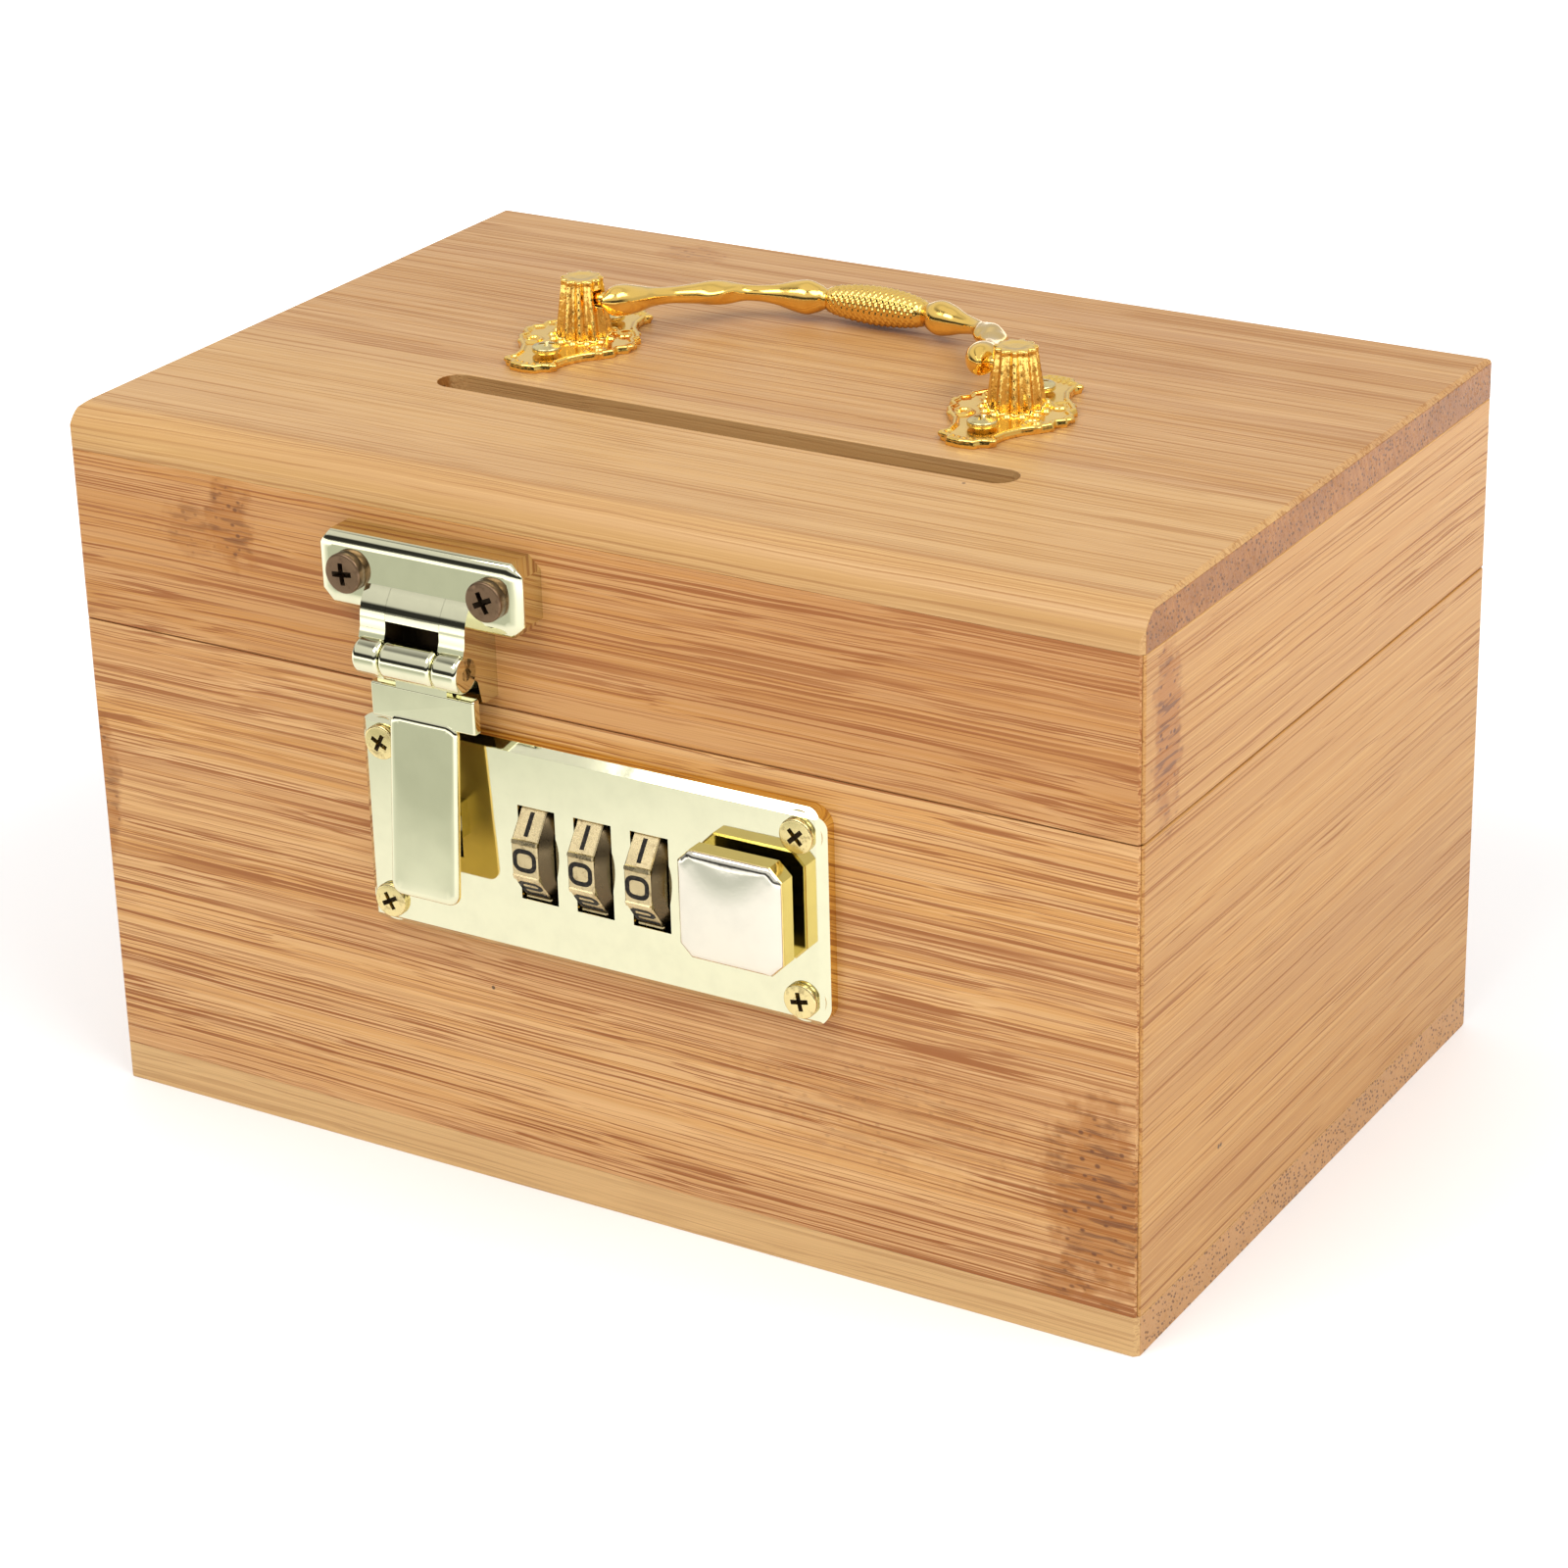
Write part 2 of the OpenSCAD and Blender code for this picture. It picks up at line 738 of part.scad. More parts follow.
module number_dial_1() number_dial(0);
module number_dial_2() number_dial(1);
module number_dial_3() number_dial(2);

// The notched sleeve that a dial turns
module code_sleeve(i) {
    x0 = dial_x[i] + band_left;
    l = sleeve_end - band_left;
    color(steel)
        difference() {
            union() {
                on_dial_axis(x0, l, sleeve_r);
                on_dial_axis(dial_x[i] + cam_at, cam_t, cam_r);
            }
            on_dial_axis(x0 - over, l + 2 * over, spindle_r + fit_gap);
            on_front(dial_x[i] + cam_at + cam_t / 2, lock_z + cam_r)
                translate([0, 0, dial_axis_out])
                    cube([cam_t + over, cam_notch[1] * 2, cam_notch[0]], center = true);
        }
}

module code_sleeve_1() code_sleeve(0);
module code_sleeve_2() code_sleeve(1);
module code_sleeve_3() code_sleeve(2);

module dial_spindle()
    color(steel)
        on_dial_axis(rib_x[0] - 0.8, rib_x[1] - rib_x[0] + rib_t + 1.2, spindle_r);

// Leaf spring at the back of the case, with one bump behind each dial
module detent_spring() {
    leaf = 0.35;
    bump_r = 1.15;
    wall_out = case_wall - case_depth;
    color(steel) {
        on_front(dial_x[0] + band_left, lock_z) translate([0, -4.5, wall_out])
            cube([dial_x[2] - dial_x[0] + band_w, 9, leaf]);
        for (x = dial_x)
            on_front(x + band_left + 0.5, lock_z) translate([0, 0, wall_out])
                rotate([0, 90, 0])
                    intersection() {
                        cylinder(r = bump_r, h = band_w - 1);
                        translate([-2 * bump_r, -bump_r, 0])
                            cube([2 * bump_r, 2 * bump_r, band_w]);
                    }
    }
}

// A flat stretch of the latch slide between two corners, given as x and height
module latch_strip(x0, x1, z0, z1)
    on_front(x0, z0) translate([0, 0, latch_out]) cube([x1 - x0, z1 - z0, latch_t]);

module latch_slide() {
    tip_x = staple_x + staple_w / 2 + latch_tip;
    color(steel)
        difference() {
            union() {
                latch_strip(latch_x[0], latch_x[1], latch_bar_z[0], latch_bar_z[1]);
                latch_strip(latch_x[0], latch_x[0] + latch_arm_w, latch_arm_foot,
                            latch_bar_z[1]);
                latch_strip(tip_x, latch_x[0] + latch_arm_w, latch_tip_z[0], latch_tip_z[1]);
                for (x = dial_x)
                    latch_strip(x + fence_at, x + fence_at + fence_w, fence_z,
                                latch_bar_z[1]);
                latch_strip(stem_arm_x[0], stem_arm_x[1], stem_arm_foot, latch_bar_z[1]);
                latch_strip(ear_x, stem_arm_x[1], ear_z[0], ear_z[1]);
                on_front(ear_x, ear_z[0]) translate([0, 0, ear_back])
                    cube([latch_t, ear_z[1] - ear_z[0], latch_out - ear_back + latch_t]);
            }
            on_front(button_x, button_z) cylinder(r = rivet_r + fit_gap, h = plate_t);
        }
}

module slider_button()
    color(champagne)
        difference() {
            union() {
                on_front(button_x, button_z) translate([0, 0, button_out[0]])
                    bevelled(button_w, button_h, button_out[1] - button_out[0],
                             button_bevel, button_bevel_t)
                        cut_rect(button_w, button_h, button_chamfer);
                on_front(button_x, button_z) translate([0, 0, latch_out + latch_t])
                    linear_extrude(button_out[0] - latch_out)
                        square([stem_w, stem_h], center = true);
            }
            on_front(button_x, button_z)
                cylinder(r = rivet_r + fit_gap, h = button_out[0] + 1);
        }

module button_rivet()
    color(steel)
        on_front(button_x, button_z) {
            translate([0, 0, latch_out - rivet_head_t])
                cylinder(r = rivet_head_r, h = rivet_head_t);
            translate([0, 0, latch_out - rivet_head_t / 2])
                cylinder(r = rivet_r, h = button_out[0] + rivet_head_t / 2 - latch_out);
        }

// A compression spring along X, as rings of points round a helix
module return_spring() {
    x0 = ear_x + latch_t + spring_wire + 0.1;
    x1 = lock_x + case_w / 2 - case_wall - spring_wire - 0.1;
    rings = spring_turns * spring_steps;
    pts = [
        for (k = [0:rings], s = [0:spring_sides - 1])
            let (turn = 360 * k / spring_steps,
                 side = 360 * s / spring_sides,
                 r = spring_r + spring_wire * cos(side))
            [x0 + (x1 - x0) * k / rings + spring_wire * sin(side), r * cos(turn), r * sin(turn)]
    ];
    sides = [
        for (k = [0:rings - 1], s = [0:spring_sides - 1])
            let (n = (s + 1) % spring_sides, a = k * spring_sides, b = a + spring_sides)
            [a + s, a + n, b + n, b + s]
    ];
    ends = [
        [for (s = [0:spring_sides - 1]) spring_sides - 1 - s],
        [for (s = [0:spring_sides - 1]) rings * spring_sides + s]
    ];
    color(steel)
        translate([0, front_y - spring_out, spring_z]) polyhedron(pts, concat(sides, ends));
}

// ---- Rear hinges ----

// A cylinder on the hinge line, w long, with its middle at x
module on_hinge_line(x, w, r)
    translate([x - w / 2, back_y + hinge_out, hinge_z])
        rotate([0, 90, 0]) cylinder(r = r, h = w);

// way is -1 for the leaf on the base, with the outer knuckles, and 1 for the leaf on the lid
module hinge_leaf(x, way) {
    share = hinge_l / hinge_knuckles;
    own = way < 0 ? [-share, share] : [0];
    own_w = share - hinge_knuckle_gap;
    color(rich_gold)
        difference() {
            union() {
                on_back(x, hinge_z + way * (leaf_clear + leaf_h) / 2)
                    linear_extrude(leaf_t)
                        round_rect(hinge_l, leaf_h - leaf_clear, 1);
                for (k = own) {
                    on_hinge_line(x + k, own_w, hinge_r);
                    on_back(x - k, hinge_z + way * (leaf_clear + 1) / 2)
                        translate([-own_w / 2, -(leaf_clear + 1) / 2, 0.1])
                            cube([own_w, leaf_clear + 1, leaf_t - 0.1]);
                }
            }
            on_hinge_line(x, hinge_l + over, hinge_pin_r + fit_gap);
            at_hinge_screws(way) translate([0, 0, leaf_t])
                shank_hole(hinge_shank_r, leaf_t + over);
        }
}

module hinge_pin(x) color(rich_gold) on_hinge_line(x, hinge_l, hinge_pin_r);

module hinge_screws(way)
    color(rich_gold)
        at_hinge_screws(way) translate([0, 0, leaf_t])
            pan_screw(hinge_head_r, hinge_head_h, hinge_shank_r, leaf_t + screw_bite - 0.5);

module left_hinge_base_leaf() hinge_leaf(-hinge_x, -1);
module right_hinge_base_leaf() hinge_leaf(hinge_x, -1);
module left_hinge_lid_leaf() hinge_leaf(-hinge_x, 1);
module right_hinge_lid_leaf() hinge_leaf(hinge_x, 1);
module left_hinge_pin() hinge_pin(-hinge_x);
module right_hinge_pin() hinge_pin(hinge_x);
module hinge_base_screws() hinge_screws(-1);
module hinge_lid_screws() hinge_screws(1);
module left_handle_post() handle_post(-1);
module right_handle_post() handle_post(1);

lid_top_board();
lid_front_rail();
lid_back_rail();
lid_left_rail();
lid_right_rail();
base_bottom_board();
base_front_wall();
base_back_wall();
base_left_wall();
base_right_wall();
left_handle_post();
right_handle_post();
handle_post_screws();
bail_handle();
hasp_hinge_plate();
hasp_plate_screws();
hasp_hinge_pin();
hasp_strap();
lock_plate();
lock_plate_screws();
lock_case();
lock_case_screws();
number_dial_1();
number_dial_2();
number_dial_3();
code_sleeve_1();
code_sleeve_2();
code_sleeve_3();
dial_spindle();
detent_spring();
latch_slide();
slider_button();
button_rivet();
return_spring();
left_hinge_base_leaf();
right_hinge_base_leaf();
left_hinge_lid_leaf();
right_hinge_lid_leaf();
left_hinge_pin();
right_hinge_pin();
hinge_base_screws();
hinge_lid_screws();
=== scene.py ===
"""The looks of a small bamboo donation box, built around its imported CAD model.

Sizes are in millimetres in the lists and functions below, and in metres in Blender. X is the
width, +Y is the back and +Z is up. Every piece's object stays at the origin, so the Object
texture coordinates are the CAD model's own coordinates.
"""

from contextlib import contextmanager
import json
import math

import bmesh
import bpy
from mathutils import Matrix, Vector


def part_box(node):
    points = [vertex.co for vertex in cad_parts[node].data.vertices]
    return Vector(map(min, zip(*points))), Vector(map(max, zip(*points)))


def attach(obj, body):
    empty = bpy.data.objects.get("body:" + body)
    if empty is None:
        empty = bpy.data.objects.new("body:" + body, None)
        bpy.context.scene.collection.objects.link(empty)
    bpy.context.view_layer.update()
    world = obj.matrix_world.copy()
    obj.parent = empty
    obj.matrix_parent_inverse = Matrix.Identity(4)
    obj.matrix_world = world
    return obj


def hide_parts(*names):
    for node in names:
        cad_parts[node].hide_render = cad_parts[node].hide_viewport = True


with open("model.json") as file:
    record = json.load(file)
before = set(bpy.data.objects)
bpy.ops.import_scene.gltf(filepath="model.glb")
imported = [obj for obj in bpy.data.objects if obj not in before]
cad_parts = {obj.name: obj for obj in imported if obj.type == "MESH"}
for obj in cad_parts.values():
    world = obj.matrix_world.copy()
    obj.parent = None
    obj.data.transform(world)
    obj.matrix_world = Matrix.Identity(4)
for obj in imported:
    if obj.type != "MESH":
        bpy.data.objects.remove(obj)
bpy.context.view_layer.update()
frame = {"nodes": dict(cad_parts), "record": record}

MM = 0.001
TURN = 2 * math.pi
QUARTER = TURN / 4
# Points of a CAD mesh closer than this are one point, in metres
SAME_POINT = 0.002 * MM


def corners(node):
    """The lowest and highest corners of a CAD node, in millimetres."""
    low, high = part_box(node)
    return low / MM, high / MM


# The thickness of the handle's rosettes under their screws
ROSETTE_T = 1.5

# Places that the frame gives
BOX_LOW, BOX_HIGH = corners("base_bottom_board")
LID_TOP = corners("lid_top_board")[1].z
FRONT = BOX_LOW.y
PLATE_LOW, PLATE_HIGH = corners("lock_plate")
PLATE_T = FRONT - PLATE_LOW.y


# ---------------------------------------------------------------- meshes

def add_object(name, data):
    thing = bpy.data.objects.new(name, data)
    bpy.context.scene.collection.objects.link(thing)
    return thing


def new_piece(name, points, faces, material, smooth=True):
    """An object made of points in millimetres and faces."""
    mesh = bpy.data.meshes.new(name)
    mesh.from_pydata([Vector(p) * MM for p in points], [], faces)
    mesh.validate()
    mesh.materials.append(material)
    return shade_smooth(add_object(name, mesh), smooth)


def shade_smooth(piece, smooth=True):
    piece.data.polygons.foreach_set("use_smooth", [smooth] * len(piece.data.polygons))
    return piece


@contextmanager
def editing(mesh):
    """A bmesh of a mesh, written back to it when the block ends."""
    bm = bmesh.new()
    bm.from_mesh(mesh)
    yield bm
    bm.to_mesh(mesh)
    bm.free()


def welded(piece):
    """Makes points at the same place one point, and turns the faces outwards."""
    with editing(piece.data) as bm:
        bmesh.ops.remove_doubles(bm, verts=bm.verts, dist=SAME_POINT)
        bmesh.ops.recalc_face_normals(bm, faces=bm.faces)
    return piece


def modify(piece, kind, **settings):
    """Adds a modifier with the given settings to a piece."""
    modifier = piece.modifiers.new(kind.lower(), kind)
    for name, setting in settings.items():
        setattr(modifier, name, setting)


def apply_modifiers(piece):
    """Makes a piece's modifiers part of its mesh."""
    graph = bpy.context.evaluated_depsgraph_get()
    mesh = bpy.data.meshes.new_from_object(piece.evaluated_get(graph))
    piece.modifiers.clear()
    piece.data = mesh
    return piece


def keep_flat(piece):
    """Smooth shading in which the flat faces stay flat, with all modifiers applied."""
    modify(piece, "WEIGHTED_NORMAL", weight=60, keep_sharp=True)
    return apply_modifiers(shade_smooth(piece))


def soften(piece, width, segments=2, angle=28, share=None):
    """Rounds a piece's sharp edges to a radius of about width, in millimetres."""
    sharp = math.radians(angle)
    modify(piece, "BEVEL", width=width * MM, segments=segments, angle_limit=sharp,
           limit_method="WEIGHT" if share else "ANGLE", miter_outer="MITER_ARC")
    if share:
        with editing(piece.data) as bm:
            weight = bm.edges.layers.float.new("bevel_weight_edge")
            for edge in bm.edges:
                if edge.calc_face_angle(0) > sharp:
                    edge[weight] = share((edge.verts[0].co + edge.verts[1].co) / 2 / MM)
    return keep_flat(piece)


def polish(piece, angle=35):
    """Smooth shading that stops at sharp edges and keeps flat faces flat."""
    shade_smooth(piece).data.set_sharp_from_angle(angle=math.radians(angle))
    return keep_flat(piece)


def from_cad(node, material, width, segments=2, angle=28, share=None):
    """A copy of a CAD node with its edges rounded, which stands for the node.

    share(middle of an edge, in millimetres) can make some edges' rounding smaller.
    """
    piece = add_object(node + "_shaped", frame["nodes"][node].data.copy())
    with editing(piece.data) as bm:
        bmesh.ops.remove_doubles(bm, verts=bm.verts, dist=SAME_POINT)
        bmesh.ops.dissolve_limit(bm, angle_limit=math.radians(0.6), verts=bm.verts,
                                 edges=bm.edges)
    piece.data.materials.clear()
    piece.data.materials.append(material)
    if piece.data.has_custom_normals:
        piece.data.normals_split_custom_set([Vector((0, 0, 0))] * len(piece.data.loops))
    return stand_for(soften(piece, width, segments, angle, share), node)


def body_of(node):
    """The body that a CAD node is on."""
    for body, members in frame["record"]["behaviour"]["bodies"].items():
        if node in members:
            return body
    raise KeyError(node)


def stand_for(piece, *nodes):
    """Puts a piece in the place of CAD nodes, on their body, and hides the nodes."""
    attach(piece, body_of(nodes[0]))
    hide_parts(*nodes)
    return piece


def join(name, pieces):
    """Joins pieces into one mesh object, and keeps each face's material."""
    bm = bmesh.new()
    materials = []
    for piece in pieces:
        first = len(bm.faces)
        bm.from_mesh(piece.data)
        bm.faces.ensure_lookup_table()
        slots = list(piece.data.materials)
        materials += [material for material in slots if material not in materials]
        for face in bm.faces[first:]:
            face.material_index = materials.index(slots[face.material_index])
    mesh = bpy.data.meshes.new(name)
    bm.to_mesh(mesh)
    bm.free()
    for material in materials:
        mesh.materials.append(material)
    target, *others = pieces
    for piece in others:
        bpy.data.objects.remove(piece)
    target.data = mesh
    target.name = name
    return target


def shift(x, y, z):
    """A move by millimetres."""
    return Matrix.Translation(Vector((x, y, z)) * MM)


def turned(angle, axis):
    return Matrix.Rotation(angle, 4, axis)


def on_front(x, z, out=0.0):
    """Places a piece drawn flat (x right, y up, z towards the viewer) on the box's front."""
    return shift(x, FRONT - out, z) @ Matrix(((1, 0, 0), (0, 0, -1), (0, 1, 0))).to_4x4()


def on_back(x, z, out=0.0):
    """Places a piece drawn flat on the box's back."""
    return shift(x, BOX_HIGH.y + out, z) @ Matrix(((-1, 0, 0), (0, 0, 1), (0, 1, 0))).to_4x4()


def on_lid(x, y, above=0.0):
    return shift(x, y, LID_TOP + above)


def placed(piece, matrix):
    """Moves a piece's mesh by matrix."""
    piece.data.transform(matrix)
    if matrix.determinant() < 0:
        piece.data.flip_normals()
    return piece


def ring(radius, height, sides):
    """Points round the Z axis."""
    return [(radius * math.cos(TURN * k / sides), radius * math.sin(TURN * k / sides), height)
            for k in range(sides)]


def walls(rings, sides):
    """The faces between rings of points that follow each other in one list."""
    faces = []
    for low in range(0, (rings - 1) * sides, sides):
        high = low + sides
        for k in range(sides):
            n = (k + 1) % sides
            faces.append((low + k, low + n, high + n, high + k))
    return faces


def closed(name, points, sides, material, smooth=True):
    """A closed solid from rings of points that follow each other in one list.

    A ring can be as small as a point.
    """
    rings = len(points) // sides
    last = (rings - 1) * sides
    ends = [list(range(sides))[::-1], list(range(last, last + sides))]
    return welded(new_piece(name, points, walls(rings, sides) + ends, material, smooth))


def lathe(name, outline, sides, material):
    """A closed solid from an outline of (radius, height) turned about Z, axis to axis."""
    points = [point for radius, height in outline for point in ring(radius, height, sides)]
    return closed(name, points, sides, material)


def inset(outline, amount):
    """Moves every side of an anticlockwise outline inwards by amount."""
    count = len(outline)
    moved = []
    for k in range(count):
        a, b, c = (Vector(outline[(k + d) % count]) for d in (-1, 0, 1))
        one = (b - a).normalized()
        two = (c - b).normalized()
        in_one = Vector((-one.y, one.x))
        in_two = Vector((-two.y, two.x))
        middle = (in_one + in_two).normalized()
        moved.append(b + middle * amount / max(middle.dot(in_one), 0.3))
    return [tuple(p) for p in moved]


def stack(name, outline, levels, material, dome=0.0):
    """A solid from one outline at several levels of (inset, height), from the back forwards.

    With a dome, the front is closed by rings that rise to it in the middle.
    """
    last = inset(outline, levels[-1][0])
    points = [(x, y, height) for amount, height in levels for x, y in inset(outline, amount)]
    if dome:
        rings = 10
        reach_x = max(x for x, y in last)
        reach_y = max(y for x, y in last)
        for r in range(rings)[::-1]:
            share = r / rings
            points += [(x * share, y * share, levels[-1][1] + dome
                        * (1 - (x * share / reach_x) ** 2) * (1 - (y * share / reach_y) ** 2))
                       for x, y in last]
    return closed(name, points, len(outline), material)


def round_outline(width, height, radius, steps=6):
    """An anticlockwise rectangle with round corners."""
    points = []
    for quarter, (sx, sy) in enumerate(((1, -1), (1, 1), (-1, 1), (-1, -1))):
        cx = sx * (width / 2 - radius)
        cy = sy * (height / 2 - radius)
        for k in range(steps + 1):
            a = QUARTER * (quarter - 1 + k / steps)
            points.append((cx + radius * math.cos(a), cy + radius * math.sin(a)))
    return points


def dense(outline, step):
    """The same outline with points at most step apart."""
    points = []
    for k, (x, y) in enumerate(outline):
        nx, ny = outline[(k + 1) % len(outline)]
        parts = max(1, math.ceil(math.hypot(nx - x, ny - y) / step))
        points += [(x + (nx - x) * i / parts, y + (ny - y) * i / parts) for i in range(parts)]
    return points


def cut_outline(width, height, cut):
    """An anticlockwise rectangle with its corners cut off."""
    w, h = width / 2, height / 2
    return [(w - cut, -h), (w, -h + cut), (w, h - cut), (w - cut, h),
            (-w + cut, h), (-w, h - cut), (-w, -h + cut), (-w + cut, -h)]


def rings_along(centres, guide=None):
    """For each centre of a line, it and the two directions across the line there."""
    last = len(centres) - 1
    for k, centre in enumerate(centres):
        way = (centres[min(k + 1, last)] - centres[max(k - 1, 0)]).normalized()
        up = guide or (Vector((0, 0, 1)) if abs(way.z) < 0.9 else Vector((1, 0, 0)))
        up = (up - way * up.dot(way)).normalized()
        yield centre, up, up.cross(way)


def tube(name, path, radius, sides, material):
    """A closed tube along a path. radius(share of the path) gives its radius."""
    points = []
    centres = [Vector(p) for p in path]
    count = len(centres)
    for k, (centre, up, inward) in enumerate(rings_along(centres)):
        for x, y, z in ring(radius(k / (count - 1)), 0, sides):
            points.append(centre + up * x + inward * y)
    return closed(name, points, sides, material)


def ball(name, centre, size, material, sides=20):
    """An ellipsoid with half axes size, as a turned mesh."""
    rings = sides // 2
    outline = [(0 if k in (0, rings) else math.sin(math.pi * k / rings),
                -math.cos(math.pi * k / rings)) for k in range(rings + 1)]
    piece = lathe(name, outline, sides, material)
    return placed(piece, shift(*centre) @ Matrix.Diagonal((*size, 1)))


def cast_skin(piece, voxel, smoothing):
    """Melts overlapping shapes into one skin with soft creases, as a casting has."""
    modify(piece, "REMESH", mode="VOXEL", voxel_size=voxel * MM)
    modify(piece, "SMOOTH", factor=0.5, iterations=smoothing)
    return shade_smooth(apply_modifiers(piece))


def carve(piece, *cutters):
    """Cuts the cutters' shapes out of a piece and removes them."""
    for cutter in cutters:
        modify(piece, "BOOLEAN", operation="DIFFERENCE", solver="EXACT", object=cutter)
    apply_modifiers(piece)
    for cutter in cutters:
        bpy.data.objects.remove(cutter)
    return piece


# ---------------------------------------------------------------- materials

# The Mix node's first colour socket
COLOUR_A = 6


class Nodes:
    """A short way to write a node tree: most calls add one node and give its output."""

    def __init__(self, tree):
        self.tree = tree

    def feed(self, socket, value):
        if isinstance(value, bpy.types.NodeSocket):
            self.tree.links.new(value, socket)
        elif isinstance(value, tuple) and socket.type == "RGBA":
            socket.default_value = (*value, 1)
        else:
            socket.default_value = value

    def new(self, kind, values=(), output=0, **settings):
        """Adds a node, feeds its sockets by number or by name, and gives an output."""
        node = self.tree.nodes.new("ShaderNode" + kind)
        for name, setting in settings.items():
            setattr(node, name, setting)
        for socket, value in (values.items() if isinstance(values, dict)
                              else enumerate(values)):
            self.feed(node.inputs[socket], value)
        return node.outputs[output]

    def scaled(self, vector, scale):
        return self.new("VectorMath", (vector, scale), operation="MULTIPLY")

    def split(self, vector):
        return self.new("SeparateXYZ", (vector,), slice(3))

    def joined(self, x, y, z):
        return self.new("CombineXYZ", (x, y, z))

    def distance(self, x, y):
        """How far the point x, y is from 0, 0."""
        return self.new("VectorMath", (self.joined(x, y, 0.0),), "Value", operation="LENGTH")

    def math(self, operation, *values):
        return self.new("Math", values, operation=operation)

    def add(self, a, b):
        return self.math("ADD", a, b)

    def times(self, a, b):
        return self.math("MULTIPLY", a, b)

    def step(self, value, low, high, out_low=0.0, out_high=1.0):
        """A smooth step from out_low at low to out_high at high."""
        return self.new("MapRange", (value, low, high, out_low, out_high),
                        interpolation_type="SMOOTHSTEP")

    def noise(self, vector, detail=2.0, roughness=0.5, scale=1.0):
        return self.new("TexNoise", {"Vector": vector, "Scale": scale, "Detail": detail,
                                     "Roughness": roughness}, "Fac")

    def spots(self, vector, randomness=1.0):
        """The distance to the nearest of scattered points."""
        return self.new("TexVoronoi", {"Vector": vector, "Scale": 1.0,
                                       "Randomness": randomness}, "Distance")

    def blend(self, share, a, b):
        return self.new("Mix", {"Factor": share, COLOUR_A: a, COLOUR_A + 1: b}, 2,
                        data_type="RGBA")


class Graph(Nodes):
    """The nodes of a new material. x, y and z are the place on the piece in millimetres."""

    def __init__(self, name):
        self.material = bpy.data.materials.new(name)
        self.material.use_nodes = True
        super().__init__(self.material.node_tree)
        self.shader = self.tree.nodes["Principled BSDF"]
        self.place = self.scaled(self.new("TexCoord", output="Object"), (1 / MM,) * 3)
        self.x, self.y, self.z = self.split(self.place)

    def shade(self, **values):
        for name, value in values.items():
            self.feed(self.shader.inputs[name.replace("_", " ")], value)

    def bump(self, height, depth):
        """Relief with the given depth in millimetres where height goes from 0 to 1."""
        self.shade(Normal=self.new("Bump", {"Strength": 1.0, "Distance": depth * MM,
                                            "Height": height}))


def stretched(along, per_mm, across_per_mm):
    """One scale along the grain, and another in the other two directions."""
    return tuple(per_mm if axis == along else across_per_mm for axis in "XYZ")


def grain(g, along, per_mm, across_per_mm, start=0.0):
    """A place in the grain, drawn out along it. start gives another set of lines."""
    return g.new("VectorMath", (g.warped, stretched(along, per_mm, across_per_mm),
                                (start,) * 3), operation="MULTIPLY_ADD")


def warp_place(g, along, amount):
    """Bends the lines of the grain gently by up to about amount, in millimetres."""
    bend = g.noise(g.scaled(g.place, stretched(along, 0.009, 0.03)), detail=1.0)
    wander = g.noise(g.scaled(g.place, stretched(along, 0.05, 0.25)), detail=1.0)
    sway = g.add(g.times(g.add(bend, -0.5), amount * 4), g.times(g.add(wander, -0.5), 0.5))
    g.warped = g.joined(*(part if axis == along else g.add(part, sway)
                          for axis, part in zip("XYZ", (g.x, g.y, g.z))))


def ellipse(g, a, b, spot):
    """0 in the middle of an ellipse (middle, half sizes) and 1 on its edge."""
    middle_a, middle_b, half_a, half_b = spot
    da = g.times(g.add(a, -middle_a), 1 / half_a)
    db = g.times(g.add(b, -middle_b), 1 / half_b)
    return g.math("SQRT", g.add(g.times(da, da), g.times(db, db)))


def knot_share(g, a, b, knot):
    """1 inside a knot's ragged ellipse and 0 outside it. a is along the grain."""
    ragged = g.noise(g.place, detail=2.0, scale=0.35)
    return g.step(g.add(ellipse(g, a, b, knot), g.times(g.add(ragged, -0.5), 1.1)), 1.05, 0.45)


